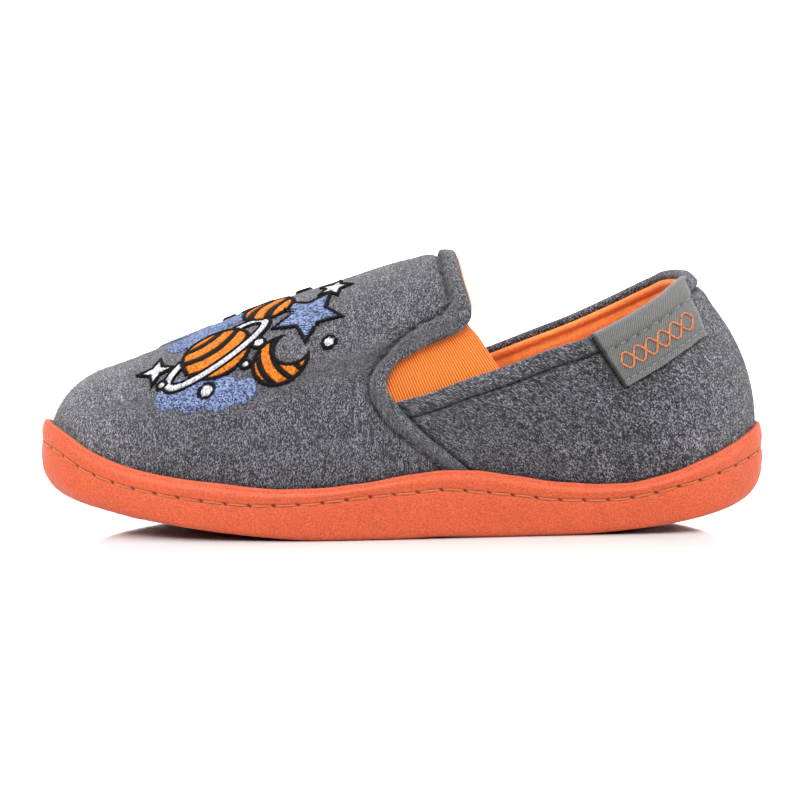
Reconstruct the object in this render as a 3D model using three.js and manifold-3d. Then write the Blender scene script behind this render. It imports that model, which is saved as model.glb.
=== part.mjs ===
import * as THREE from 'three';
import { mergeVertices } from 'three/addons/utils/BufferGeometryUtils.js';
import Module from 'manifold-3d';

// A child's slip-on slipper for the left foot: a padded jersey upper in a moulded cup sole, with an elastic gore
// on each side of the vamp's tab and a folded label over the collar.
// Millimetres, +Z up. The toe points to -X and the outer side of the foot is -Y. The origin is on the floor,
// under the middle of the outsole.

// Overall sizes
const OUTSOLE_LENGTH = 200;
const BALL_WIDTH = 78; // outsole, at the ball of the foot
const INSTEP_HEIGHT = 75; // floor to the top of the vamp's tab
const HEEL_HEIGHT = 69; // floor to the collar at the back seam

// Sole
const SOLE_THICKNESS = 6; // under the foot
const TREAD_ARCH = 0.4; // rise of the waist between the forefoot's and the heel's flats
const TOE_SPRING = 8.6;
const HEEL_SPRING = 7;
const TOE_CURVE = 1.35; // how late the toe's spring turns up
const HEEL_CURVE = 1.6;
const EDGE_RADIUS = 3; // lower edge, along the sides
const EDGE_RADIUS_TIP = 10; // lower edge, at the toe and the heel
const TOE_LIP = 2.8; // outsole to upper, at the toe
const SIDE_LIP = 2.6;
const HEEL_LIP = 1.8;
const GROOVE_DEPTH = 0.6;
const GROOVE_HALF_WIDTH = 0.8;
const LIP_ROUND = 1.3; // rounding of the rim's top

// Upper
const WALL = 2.2; // jersey, foam and lining
const HEM_RISE = 0.9; // how far a folded hem stands proud of its panel
const COLLAR_HEM = 5; // width of the collar's hem
const TOE_ROUND = 48; // length over which the toe closes, in plan
const HEEL_ROUND = 32;
const TOE_NOSE = 16; // length over which the toe closes, from the side
const HEEL_NOSE = 28;
const TOE_FRONT = 25; // height at which the toe's front starts to round over
const HEEL_BACK = 27;

// Gore, insole and label
const GORE_THICKNESS = 1.2;
const GORE_ALLOWANCE = 4; // sewn under the vamp and the collar
const INSOLE_THICKNESS = 4;
const LABEL_THICKNESS = 0.6;
const LABEL_DROP = 14; // collar's edge down to the label's lower edge
const LABEL_TUCK = 7; // collar's edge down to the label's end inside
const LABEL_FRONT = 0.753; // share of the outsole's length from the toe
const LABEL_BACK = 0.885;
const LABEL_FRONT_RAKE = 0.66; // how far its ends slope back per millimetre down
const LABEL_BACK_RAKE = 0.47;
const LABEL_SIDE = -5; // the label's back end stops this far short of the back seam

const GAP = 0.3; // between curved pieces that meet

// Outsole in plan. at: share of the length from the toe. width: share of the ball width.
// swing: the middle line's shift to the inner side, as a share of the ball width.
const OUTLINE = [
  { at: 0.0, width: 0.9, swing: 0.075 },
  { at: 0.12, width: 0.95, swing: 0.05 },
  { at: 0.22, width: 0.98, swing: 0.025 },
  { at: 0.34, width: 1.0, swing: 0.0 },
  { at: 0.46, width: 0.93, swing: -0.018 },
  { at: 0.6, width: 0.825, swing: -0.025 },
  { at: 0.74, width: 0.78, swing: -0.012 },
  { at: 0.86, width: 0.77, swing: 0.0 },
  { at: 1.0, width: 0.74, swing: 0.0 },
];

// Sections of the upper. instep and heel: shares of those heights, which add up to the ridge's height above the floor.
// lean: the ridge's shift to the inner side, as a share of the ball width. up and out: how square the section is.
const SECTIONS = [
  { at: 0.0, instep: 0.545, heel: 0, lean: 0.0, up: 2.5, out: 2.3 },
  { at: 0.08, instep: 0.585, heel: 0, lean: 0.0, up: 2.5, out: 2.3 },
  { at: 0.19, instep: 0.694, heel: 0, lean: 0.015, up: 2.3, out: 2.2 },
  { at: 0.3, instep: 0.81, heel: 0, lean: 0.03, up: 2.2, out: 2.1 },
  { at: 0.41, instep: 0.906, heel: 0, lean: 0.035, up: 2.1, out: 2.1 },
  { at: 0.5, instep: 0.98, heel: 0, lean: 0.035, up: 2.1, out: 2.1 },
  { at: 0.58, instep: 1.0, heel: 0.015, lean: 0.03, up: 2.1, out: 2.1 },
  { at: 0.66, instep: 0.53, heel: 0.6, lean: 0.02, up: 2.2, out: 2.0 },
  { at: 0.73, instep: 0.0, heel: 1.215, lean: 0.01, up: 2.3, out: 2.0 },
  { at: 0.8, instep: 0.0, heel: 1.185, lean: 0.0, up: 2.4, out: 2.0 },
  { at: 0.885, instep: 0.0, heel: 1.06, lean: 0.0, up: 2.4, out: 2.0 },
  { at: 0.94, instep: 0.0, heel: 0.975, lean: 0.0, up: 2.4, out: 2.0 },
  { at: 1.0, instep: 0.0, heel: 0.94, lean: 0.0, up: 2.4, out: 2.0 },
];

// high: the rim's top above the sole's lower face, and drop: the rim's top down to the stitch groove,
// as shares of the instep height.
const RIM = [
  { at: 0.0, high: 0.279, drop: 0.08 },
  { at: 0.02, high: 0.257, drop: 0.079 },
  { at: 0.05, high: 0.218, drop: 0.076 },
  { at: 0.1, high: 0.188, drop: 0.07 },
  { at: 0.15, high: 0.18, drop: 0.068 },
  { at: 0.2, high: 0.182, drop: 0.07 },
  { at: 0.27, high: 0.182, drop: 0.067 },
  { at: 0.33, high: 0.189, drop: 0.057 },
  { at: 0.39, high: 0.201, drop: 0.053 },
  { at: 0.45, high: 0.221, drop: 0.056 },
  { at: 0.5, high: 0.241, drop: 0.067 },
  { at: 0.545, high: 0.253, drop: 0.071 },
  { at: 0.59, high: 0.247, drop: 0.076 },
  { at: 0.64, high: 0.228, drop: 0.072 },
  { at: 0.69, high: 0.205, drop: 0.067 },
  { at: 0.73, high: 0.193, drop: 0.062 },
  { at: 0.77, high: 0.181, drop: 0.058 },
  { at: 0.82, high: 0.177, drop: 0.053 },
  { at: 0.87, high: 0.193, drop: 0.054 },
  { at: 0.92, high: 0.22, drop: 0.068 },
  { at: 0.96, high: 0.245, drop: 0.077 },
  { at: 1.0, high: 0.276, drop: 0.088 },
];

// Collar's edge from the side, from the vamp's edge back to the heel. high: share of the heel height.
const COLLAR = [
  { at: 0.528, high: 0.583 },
  { at: 0.576, high: 0.63 },
  { at: 0.624, high: 0.672 },
  { at: 0.68, high: 0.73 },
  { at: 0.737, high: 0.792 },
  { at: 0.793, high: 0.868 },
  { at: 0.822, high: 0.912 },
  { at: 0.851, high: 0.957 },
  { at: 0.885, high: 1.0 },
  { at: 1.0, high: 1.06 },
];

// Vamp's edge from the side: down the tab's end, forward over the gore, round its front and down to the sole.
// high: share of the instep height.
const VAMP_EDGE = [
  { at: 0.572, high: 1.09 },
  { at: 0.573, high: 1.02 },
  { at: 0.575, high: 0.975 },
  { at: 0.579, high: 0.92 },
  { at: 0.585, high: 0.86 },
  { at: 0.587, high: 0.814 },
  { at: 0.583, high: 0.785 },
  { at: 0.571, high: 0.753 },
  { at: 0.55, high: 0.728 },
  { at: 0.527, high: 0.705 },
  { at: 0.502, high: 0.673 },
  { at: 0.4775, high: 0.632 },
  { at: 0.466, high: 0.58 },
  { at: 0.467, high: 0.54 },
  { at: 0.478, high: 0.502 },
  { at: 0.497, high: 0.44 },
  { at: 0.522, high: 0.375 },
  { at: 0.55, high: 0.316 },
  { at: 0.576, high: 0.256 },
  { at: 0.62, high: 0.15 },
];
const GORE_TOP_ROW = 7; // the rows of VAMP_EDGE between which it runs over the gore
const GORE_FRONT_ROW = 14;

// Inner line of the hem along the vamp's edge.
const VAMP_HEM_LINE = [
  { at: 0.547, high: 1.09 },
  { at: 0.549, high: 0.996 },
  { at: 0.55, high: 0.955 },
  { at: 0.555, high: 0.897 },
  { at: 0.556, high: 0.845 },
  { at: 0.54, high: 0.804 },
  { at: 0.514, high: 0.774 },
  { at: 0.491, high: 0.735 },
  { at: 0.47, high: 0.686 },
  { at: 0.45, high: 0.627 },
  { at: 0.44, high: 0.57 },
  { at: 0.446, high: 0.491 },
  { at: 0.468, high: 0.41 },
  { at: 0.491, high: 0.362 },
  { at: 0.513, high: 0.316 },
  { at: 0.54, high: 0.257 },
  { at: 0.585, high: 0.15 },
];

// Gore's free edge, from under the tab's corner down to under the collar.
const GORE_EDGE = [
  { at: 0.57, high: 0.83 },
  { at: 0.585, high: 0.775 },
  { at: 0.596, high: 0.74 },
  { at: 0.61, high: 0.68 },
  { at: 0.625, high: 0.615 },
  { at: 0.64, high: 0.54 },
];

// Mesh steps
const STATIONS = 40;
const ARC_STEPS = 26;
const EDGE_STEPS = 4;
const OUTLINE_STEPS = 36; // along each side of the sole
const CURVE_STEPS = 3; // between two rows of an edge's table
const REACH = 60; // how far cutting blocks run past the slipper
const FINEST = 0.02; // detail smaller than this is merged away

const HALF_LENGTH = OUTSOLE_LENGTH / 2;
const HALF_BALL = BALL_WIDTH / 2;

const wasm = await Module();
wasm.setup();

// A table's column at a share of the length, by cubic steps through its rows.
function column(table, name, at) {
  const end = table.length - 1;
  if (at <= table[0].at) return table[0][name];
  if (at >= table[end].at) return table[end][name];
  let i = 0;
  while (table[i + 1].at < at) i += 1;
  const slope = (k) => {
    const before = table[Math.max(k - 1, 0)];
    const after = table[Math.min(k + 1, end)];
    return (after[name] - before[name]) / (after.at - before.at);
  };
  const step = table[i + 1].at - table[i].at;
  const t = (at - table[i].at) / step;
  const rise = table[i + 1][name] - table[i][name];
  const bend = t * (1 - t) * ((1 - t) * (slope(i) * step - rise) - t * (slope(i + 1) * step - rise));
  return table[i][name] + t * rise + bend;
}

// 0 at a tip and 1 from a length inwards, along a quarter of an ellipse.
function closing(distance, length) {
  const left = Math.max(1 - distance / length, 0);
  return Math.sqrt(Math.max(1 - left * left, 0));
}

function tipsInPlan(at) {
  return closing(at * OUTSOLE_LENGTH, TOE_ROUND) * closing((1 - at) * OUTSOLE_LENGTH, HEEL_ROUND);
}

// Stations from toe to heel, close together at both tips.
function stationShares(count) {
  return Array.from({ length: count + 1 }, (_, i) => (1 - Math.cos((Math.PI * i) / count)) / 2);
}

// The outline's middle is on y = 0.
const MIDDLE_SHIFT = (() => {
  const shares = stationShares(OUTLINE_STEPS);
  const side = (at, sign) => BALL_WIDTH * column(OUTLINE, 'swing', at)
    + sign * HALF_BALL * column(OUTLINE, 'width', at) * tipsInPlan(at);
  const low = Math.min(...shares.map((at) => side(at, -1)));
  const high = Math.max(...shares.map((at) => side(at, 1)));
  return -(low + high) / 2;
})();

function middleLine(at) {
  return MIDDLE_SHIFT + BALL_WIDTH * column(OUTLINE, 'swing', at);
}

// The sole's lower face: flat under the forefoot and the heel, with spring at both ends.
const TOE_FLAT = 0.36;
const WAIST_START = 0.475;
const WAIST_END = 0.6;
const HEEL_FLAT = 0.71;

function springAt(at) {
  const toe = Math.max(1 - at / TOE_FLAT, 0);
  const heel = Math.max((at - HEEL_FLAT) / (1 - HEEL_FLAT), 0);
  return TOE_SPRING * toe ** TOE_CURVE + HEEL_SPRING * heel ** HEEL_CURVE;
}

function undersideAt(at) {
  const t = Math.min(Math.max((at - WAIST_START) / (WAIST_END - WAIST_START), 0), 1);
  return springAt(at) + TREAD_ARCH * Math.sin(Math.PI * t) ** 2;
}

function floorAt(at) {
  return SOLE_THICKNESS + springAt(at);
}

function rimAt(at) {
  return springAt(at) + INSTEP_HEIGHT * column(RIM, 'high', at);
}

// The ridge of the upper above the floor, rounded over at the toe's front and the heel's back.
function ridgeAt(at) {
  const top = INSTEP_HEIGHT * column(SECTIONS, 'instep', at) + HEEL_HEIGHT * column(SECTIONS, 'heel', at);
  const toe = closing(at * OUTSOLE_LENGTH, TOE_NOSE);
  const heel = closing((1 - at) * OUTSOLE_LENGTH, HEEL_NOSE);
  const front = TOE_FRONT + (top - TOE_FRONT) * toe;
  const back = HEEL_BACK + (top - HEEL_BACK) * heel;
  return at < 0.5 ? front : back;
}

// The share of the outsole's length at an x.
function shareAt(x) {
  return Math.min(Math.max(x / OUTSOLE_LENGTH + 0.5, 0), 1);
}

function upperX(at, grow) {
  const toe = -HALF_LENGTH + TOE_LIP - grow;
  const heel = HALF_LENGTH - HEEL_LIP + grow;
  return toe + (heel - toe) * at;
}

// A point of the upper's outer surface moved out by grow. angle: 0 at the outer side's base, PI at the inner side's.
function upperPoint(at, angle, grow) {
  const width = (HALF_BALL * column(OUTLINE, 'width', at) - SIDE_LIP + grow) * tipsInPlan(at);
  const high = Math.max(Math.sin(angle), 0) ** (2 / column(SECTIONS, 'up', at));
  const across = Math.abs(Math.cos(angle)) ** (2 / column(SECTIONS, 'out', at));
  const lean = BALL_WIDTH * column(SECTIONS, 'lean', at) * high;
  const x = upperX(at, grow);
  const base = floorAt(shareAt(x));
  return [
    x,
    middleLine(at) + lean - Math.sign(Math.cos(angle)) * across * width,
    base + (ridgeAt(at) + grow - base) * high,
  ];
}

function toSolid(positions, triangles) {
  const geometry = new THREE.BufferGeometry();
  geometry.setAttribute('position', new THREE.Float32BufferAttribute(positions.flat(), 3));
  geometry.setIndex(triangles.flat());
  return geometryToSolid(geometry);
}

function geometryToSolid(geometry) {
  const bare = geometry.clone();
  bare.deleteAttribute('normal');
  bare.deleteAttribute('uv');
  const merged = mergeVertices(bare, 1e-4);
  const corners = merged.index.array;
  const kept = [];
  for (let i = 0; i < corners.length; i += 3) {
    const [a, b, c] = [corners[i], corners[i + 1], corners[i + 2]];
    if (a !== b && b !== c && a !== c) kept.push(a, b, c);
  }
  return new wasm.Manifold(new wasm.Mesh({
    numProp: 3,
    vertProperties: merged.attributes.position.array,
    triVerts: new Uint32Array(kept),
  }));
}

// Joins rings of equal length into one closed skin. The first and last rings close on themselves,
// by strips between the two sides when across is true.
function loftRings(rings, across) {
  const count = rings[0].length;
  const triangles = [];
  for (let r = 0; r + 1 < rings.length; r += 1) {
    for (let i = 0; i < count; i += 1) {
      const next = (i + 1) % count;
      const [a, b, c, d] = [r * count + i, r * count + next, (r + 1) * count + next, (r + 1) * count + i];
      triangles.push([a, b, c], [a, c, d]);
    }
  }
  if (across) {
    const top = (rings.length - 1) * count;
    for (let i = 0; i < count / 2; i += 1) {
      const [a, b] = [i, i + 1];
      const [c, d] = [(count - i) % count, (count - i - 1) % count];
      triangles.push([a, c, b], [b, c, d]);
      triangles.push([top + a, top + b, top + c], [top + b, top + d, top + c]);
    }
  }
  return toSolid(rings.flat(), triangles);
}

// The upper's form as a closed solid, down to a height given at each station.
function upperForm(grow, bottomAt) {
  const rings = stationShares(STATIONS).map((at) => {
    const arc = Array.from({ length: ARC_STEPS + 1 }, (_, j) => upperPoint(at, (Math.PI * j) / ARC_STEPS, grow));
    const [x, outer] = arc[0];
    const inner = arc[ARC_STEPS][1];
    const bottom = bottomAt(shareAt(x));
    return [...arc, [x, inner, bottom], [x, outer, bottom]];
  });
  return loftRings(rings.reverse(), false);
}

// A wide block along the slipper between two heights given at each station.
function slab(lowAt, highAt) {
  const rings = stationShares(STATIONS).map((at) => {
    const x = (HALF_LENGTH + REACH) * (2 * at - 1);
    const [low, high] = [lowAt(shareAt(x)), highAt(shareAt(x))];
    return [[x, -REACH, low], [x, REACH, low], [x, REACH, high], [x, -REACH, high]];
  });
  return loftRings(rings, true);
}

// Rows of an edge's table as side-view points in millimetres, with smooth steps between them.
function sideCurve(table, height, start = []) {
  const rows = table.map((row) => new THREE.Vector2((row.at - 0.5) * OUTSOLE_LENGTH, row.high * height));
  const points = [...start, ...rows];
  return new THREE.SplineCurve(points).getPoints((points.length - 1) * CURVE_STEPS);
}

// The same curve moved sideways: to the left of its direction when distance is positive.
function offsetCurve(curve, distance) {
  return curve.map((point, i) => {
    const before = curve[Math.max(i - 1, 0)];
    const after = curve[Math.min(i + 1, curve.length - 1)];
    const along = after.clone().sub(before).normalize();
    return new THREE.Vector2(point.x - along.y * distance, point.y + along.x * distance);
  });
}

// A side-view outline extended across the slipper, between two y values.
function sideBlock(points, lowY = -REACH, highY = REACH) {
  const geometry = new THREE.ExtrudeGeometry(new THREE.Shape(points), { depth: highY - lowY, bevelEnabled: false });
  geometry.rotateX(Math.PI / 2);
  geometry.translate(0, highY, 0);
  return geometryToSolid(geometry);
}

const vampEdge = sideCurve(VAMP_EDGE, INSTEP_HEIGHT);
const vampHemLine = sideCurve(VAMP_HEM_LINE, INSTEP_HEIGHT);
const goreEdge = sideCurve(GORE_EDGE, INSTEP_HEIGHT);
const tabEdge = vampEdge.slice(0, GORE_FRONT_ROW * CURVE_STEPS + 1);
const collarEdge = sideCurve(COLLAR, HEEL_HEIGHT, [tabEdge[tabEdge.length - 1]]);

// Everything above the collar and behind the tab.
function mouthBlock() {
  const far = new THREE.Vector2(HALF_LENGTH + REACH, INSTEP_HEIGHT + REACH);
  const back = new THREE.Vector2(far.x, collarEdge[collarEdge.length - 1].y);
  const over = new THREE.Vector2(tabEdge[0].x, far.y);
  return sideBlock([...tabEdge, ...collarEdge.slice(1), back, far, over]);
}

function shellBetween(inner, outer, bottomAt) {
  return upperForm(outer, bottomAt).subtract(upperForm(inner, () => -REACH));
}

const upperBottom = (at) => floorAt(at) + GAP;

function buildUpper() {
  const wall = shellBetween(-WALL, 0, upperBottom);
  const raised = shellBetween(-WALL / 2, HEM_RISE, (at) => rimAt(at) + GAP);
  const vampHem = raised.intersect(sideBlock([...vampEdge, ...[...vampHemLine].reverse()]));
  const behindVamp = sideBlock([
    ...vampEdge,
    new THREE.Vector2(HALF_LENGTH + REACH, -REACH),
    new THREE.Vector2(HALF_LENGTH + REACH, INSTEP_HEIGHT + REACH),
  ]);
  const band = [...offsetCurve(collarEdge, 1), ...offsetCurve(collarEdge, -COLLAR_HEM).reverse()];
  const collarHem = raised.intersect(sideBlock(band)).intersect(behindVamp);
  return wall.add(vampHem).add(collarHem).subtract(mouthBlock());
}

// A gore lies under the upper's wall and shows through the cut-out between the tab and the collar.
function buildGore(side) {
  const outside = -WALL - GAP;
  const sheet = shellBetween(outside - GORE_THICKNESS, outside, upperBottom);
  const front = offsetCurve(tabEdge.slice(GORE_TOP_ROW * CURVE_STEPS), -GORE_ALLOWANCE);
  const lower = offsetCurve(collarEdge, -GORE_ALLOWANCE).filter((p) => p.x < goreEdge[goreEdge.length - 1].x);
  const patch = [...front, ...lower, ...[...goreEdge].reverse().filter((p) => p.y > lower[lower.length - 1].y)];
  const [lowY, highY] = side < 0 ? [-REACH, 0] : [0, REACH];
  return sheet.intersect(sideBlock(patch, lowY, highY));
}

function buildInsole() {
  const top = (at) => upperBottom(at) + INSOLE_THICKNESS;
  return upperForm(-WALL - GAP, () => 0).intersect(slab(upperBottom, top));
}

// One ring of the sole, the outline brought in by inset, at a height given at each station.
function soleRing(insetAt, heightAt) {
  const shares = stationShares(OUTLINE_STEPS);
  const point = (at, sign) => {
    const inset = insetAt(at);
    const x = (2 * at - 1) * (HALF_LENGTH - inset);
    const width = (HALF_BALL * column(OUTLINE, 'width', at) - inset) * tipsInPlan(at);
    return [x, middleLine(at) + sign * width, heightAt(at)];
  };
  const outer = shares.map((at) => point(at, -1));
  const inner = shares.slice(1, -1).reverse().map((at) => point(at, 1));
  return [...outer, ...inner];
}

// How near a station is to a tip: 0 along the sides, 1 at the toe and the heel.
function tipShare(at) {
  return 1 - tipsInPlan(at);
}

function buildOutsole() {
  const radius = (at) => EDGE_RADIUS + (EDGE_RADIUS_TIP - EDGE_RADIUS) * tipShare(at);
  const rings = [];
  for (let i = 0; i <= EDGE_STEPS; i += 1) {
    const angle = (Math.PI / 2) * (i / EDGE_STEPS);
    rings.push(soleRing(
      (at) => radius(at) * (1 - Math.sin(angle)),
      (at) => undersideAt(at) + radius(at) * (1 - Math.cos(angle)),
    ));
  }
  const grooveAt = (at) => rimAt(at) - INSTEP_HEIGHT * column(RIM, 'drop', at);
  rings.push(soleRing(() => 0, (at) => grooveAt(at) - GROOVE_HALF_WIDTH));
  rings.push(soleRing(() => GROOVE_DEPTH, grooveAt));
  rings.push(soleRing(() => GROOVE_DEPTH / 3, (at) => grooveAt(at) + GROOVE_HALF_WIDTH));
  rings.push(soleRing(() => GROOVE_DEPTH / 3, (at) => rimAt(at) - LIP_ROUND));
  rings.push(soleRing(() => LIP_ROUND, rimAt));
  const block = loftRings(rings, true);
  return block.subtract(upperForm(GAP, floorAt));
}

// The label is one strip folded over the collar: a leaf outside, a leaf inside and the fold between them.
function buildLabel() {
  const outside = HEM_RISE + GAP;
  const inside = -WALL - GAP;
  const strip = shellBetween(inside - LABEL_THICKNESS, outside + LABEL_THICKNESS, upperBottom);
  const room = shellBetween(inside, outside, () => 0);
  const front = (LABEL_FRONT - 0.5) * OUTSOLE_LENGTH;
  const back = (LABEL_BACK - 0.5) * OUTSOLE_LENGTH;
  const rake = (LABEL_FRONT_RAKE + LABEL_BACK_RAKE) / 2;
  const top = GAP + LABEL_THICKNESS;
  const fold = offsetCurve(collarEdge, top);
  const underFold = offsetCurve(collarEdge, GAP);
  const hung = (drop) => collarEdge.map((p) => new THREE.Vector2(p.x + rake * drop, p.y - drop));
  const ends = (drop) => sideBlock([
    new THREE.Vector2(front, HEEL_HEIGHT * column(COLLAR, 'high', LABEL_FRONT) + top),
    new THREE.Vector2(front + LABEL_FRONT_RAKE * drop, HEEL_HEIGHT * column(COLLAR, 'high', LABEL_FRONT) - drop),
    new THREE.Vector2(back + LABEL_BACK_RAKE * drop, HEEL_HEIGHT * column(COLLAR, 'high', LABEL_BACK) - drop),
    new THREE.Vector2(back, HEEL_HEIGHT * column(COLLAR, 'high', LABEL_BACK) + top),
  ], -REACH, middleLine(LABEL_BACK) + LABEL_SIDE);
  const leafRegion = (drop) => sideBlock([...fold, ...hung(drop).reverse()]);
  const between = room.intersect(sideBlock([...underFold, ...hung(REACH).reverse()]));
  const outerLeaf = strip.subtract(upperForm(0, () => -REACH)).intersect(leafRegion(LABEL_DROP)).intersect(ends(LABEL_DROP));
  const innerLeaf = strip.intersect(upperForm(0, () => -REACH)).intersect(leafRegion(LABEL_TUCK)).intersect(ends(LABEL_DROP));
  return outerLeaf.add(innerLeaf).subtract(between);
}

function toGeometry(solid) {
  const mesh = solid.simplify(FINEST).getMesh();
  const geometry = new THREE.BufferGeometry();
  geometry.setAttribute('position', new THREE.BufferAttribute(mesh.vertProperties, 3));
  geometry.setIndex(new THREE.BufferAttribute(mesh.triVerts, 1));
  return geometry;
}

const materials = {
  jersey: new THREE.MeshStandardMaterial({ color: 0x6b6c70, roughness: 0.95, metalness: 0 }),
  elastic: new THREE.MeshStandardMaterial({ color: 0xf77d1e, roughness: 0.8, metalness: 0 }),
  rubber: new THREE.MeshStandardMaterial({ color: 0xe9694a, roughness: 0.6, metalness: 0 }),
  lining: new THREE.MeshStandardMaterial({ color: 0xf9722a, roughness: 0.95, metalness: 0 }),
  ribbon: new THREE.MeshStandardMaterial({ color: 0x77797b, roughness: 0.6, metalness: 0 }),
};

function piece(name, solid, material) {
  const mesh = new THREE.Mesh(toGeometry(solid), material);
  mesh.name = name;
  return mesh;
}

const slipper = new THREE.Group();
slipper.add(piece('outsole', buildOutsole(), materials.rubber));
slipper.add(piece('insole', buildInsole(), materials.lining));
slipper.add(piece('upper', buildUpper(), materials.jersey));
slipper.add(piece('gore_outer', buildGore(-1), materials.elastic));
slipper.add(piece('gore_inner', buildGore(1), materials.elastic));
slipper.add(piece('label', buildLabel(), materials.ribbon));

export default slipper;
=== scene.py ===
import math
import bpy
import numpy as np
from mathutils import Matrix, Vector


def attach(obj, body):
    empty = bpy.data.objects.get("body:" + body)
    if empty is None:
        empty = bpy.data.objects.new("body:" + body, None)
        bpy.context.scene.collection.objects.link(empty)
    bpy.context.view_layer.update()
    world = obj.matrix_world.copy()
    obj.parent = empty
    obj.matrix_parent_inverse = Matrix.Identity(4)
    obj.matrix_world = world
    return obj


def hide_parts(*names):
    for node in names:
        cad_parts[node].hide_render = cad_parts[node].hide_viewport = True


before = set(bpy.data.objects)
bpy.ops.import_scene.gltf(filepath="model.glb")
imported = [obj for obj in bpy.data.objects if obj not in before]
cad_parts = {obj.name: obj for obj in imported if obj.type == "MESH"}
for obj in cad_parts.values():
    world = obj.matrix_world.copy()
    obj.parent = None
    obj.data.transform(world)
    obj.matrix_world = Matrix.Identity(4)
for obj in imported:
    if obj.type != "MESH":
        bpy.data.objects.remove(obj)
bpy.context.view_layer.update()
scene = bpy.context.scene
scene.view_settings.view_transform = "Standard"
rng = np.random.default_rng(11)
MM = 0.001

# The slipper's sizes in millimetres, as in the CAD model
OUTSOLE_LENGTH = 200.0
BALL_WIDTH = 78.0
INSTEP_HEIGHT = 75.0
HEEL_HEIGHT = 69.0
SOLE_THICKNESS = 6.0
TREAD_ARCH = 0.4
TOE_SPRING = 8.6
HEEL_SPRING = 7.0
TOE_CURVE = 1.35
HEEL_CURVE = 1.6
TOE_FLAT = 0.36
WAIST_START = 0.475
WAIST_END = 0.6
HEEL_FLAT = 0.71
EDGE_RADIUS = 3.0
EDGE_RADIUS_TIP = 10.0
TOE_LIP = 2.8
SIDE_LIP = 2.6
HEEL_LIP = 1.8
TOE_ROUND = 48.0
HEEL_ROUND = 32.0
TOE_NOSE = 16.0
HEEL_NOSE = 28.0
TOE_FRONT = 25.0
HEEL_BACK = 27.0
WALL = 2.2
HEM_RISE = 0.9
COLLAR_HEM = 5.2
GAP = 0.3
HALF = OUTSOLE_LENGTH / 2
X_TOE = -HALF + TOE_LIP
X_HEEL = HALF - HEEL_LIP

# at, width, swing
OUTLINE = [
    (0.0, 0.9, 0.075),
    (0.12, 0.95, 0.05),
    (0.22, 0.98, 0.025),
    (0.34, 1.0, 0.0),
    (0.46, 0.93, -0.018),
    (0.6, 0.825, -0.025),
    (0.74, 0.78, -0.012),
    (0.86, 0.77, 0.0),
    (1.0, 0.74, 0.0),
]
# at, instep, heel, lean, up, out
SECTIONS = [
    (0.0, 0.545, 0, 0.0, 2.5, 2.3),
    (0.08, 0.585, 0, 0.0, 2.5, 2.3),
    (0.19, 0.694, 0, 0.015, 2.3, 2.2),
    (0.3, 0.81, 0, 0.03, 2.2, 2.1),
    (0.41, 0.906, 0, 0.035, 2.1, 2.1),
    (0.5, 0.98, 0, 0.035, 2.1, 2.1),
    (0.58, 1.0, 0.015, 0.03, 2.1, 2.1),
    (0.66, 0.53, 0.6, 0.02, 2.2, 2.0),
    (0.73, 0.0, 1.215, 0.01, 2.3, 2.0),
    (0.8, 0.0, 1.185, 0.0, 2.4, 2.0),
    (0.885, 0.0, 1.06, 0.0, 2.4, 2.0),
    (0.94, 0.0, 0.975, 0.0, 2.4, 2.0),
    (1.0, 0.0, 0.94, 0.0, 2.4, 2.0),
]
# at, high, drop
RIM = [
    (0.0, 0.279, 0.08),
    (0.02, 0.257, 0.079),
    (0.05, 0.218, 0.076),
    (0.1, 0.188, 0.07),
    (0.15, 0.18, 0.068),
    (0.2, 0.182, 0.07),
    (0.27, 0.182, 0.067),
    (0.33, 0.189, 0.057),
    (0.39, 0.201, 0.053),
    (0.45, 0.221, 0.056),
    (0.5, 0.241, 0.067),
    (0.545, 0.253, 0.071),
    (0.59, 0.247, 0.076),
    (0.64, 0.228, 0.072),
    (0.69, 0.205, 0.067),
    (0.73, 0.193, 0.062),
    (0.77, 0.181, 0.058),
    (0.82, 0.177, 0.053),
    (0.87, 0.193, 0.054),
    (0.92, 0.22, 0.068),
    (0.96, 0.245, 0.077),
    (1.0, 0.276, 0.088),
]
# at, high: shares of the length and of the heel height
COLLAR = [
    (0.528, 0.583),
    (0.576, 0.63),
    (0.624, 0.672),
    (0.68, 0.73),
    (0.737, 0.792),
    (0.793, 0.868),
    (0.822, 0.912),
    (0.851, 0.957),
    (0.885, 1.0),
    (1.0, 1.06),
]
# at, high: shares of the length and of the instep height
VAMP_EDGE = [
    (0.572, 1.09),
    (0.573, 1.02),
    (0.575, 0.975),
    (0.579, 0.92),
    (0.585, 0.86),
    (0.587, 0.814),
    (0.583, 0.785),
    (0.571, 0.753),
    (0.55, 0.728),
    (0.527, 0.705),
    (0.502, 0.673),
    (0.4775, 0.632),
    (0.466, 0.58),
    (0.467, 0.54),
    (0.478, 0.502),
    (0.497, 0.44),
    (0.522, 0.375),
    (0.55, 0.316),
    (0.576, 0.256),
    (0.62, 0.15),
]
VAMP_HEM_LINE = [
    (0.547, 1.09),
    (0.549, 0.996),
    (0.55, 0.955),
    (0.555, 0.897),
    (0.556, 0.845),
    (0.54, 0.804),
    (0.514, 0.774),
    (0.491, 0.735),
    (0.47, 0.686),
    (0.45, 0.627),
    (0.44, 0.57),
    (0.446, 0.491),
    (0.468, 0.41),
    (0.491, 0.362),
    (0.513, 0.316),
    (0.54, 0.257),
    (0.585, 0.15),
]
GORE_EDGE = [
    (0.57, 0.83),
    (0.585, 0.775),
    (0.596, 0.74),
    (0.61, 0.68),
    (0.625, 0.615),
    (0.64, 0.54),
]
CORNER = (0.478, 0.502)


def table(rows):
    return np.array(rows, float).T


OUTLINE, SECTIONS, RIM = table(OUTLINE), table(SECTIONS), table(RIM)


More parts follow.
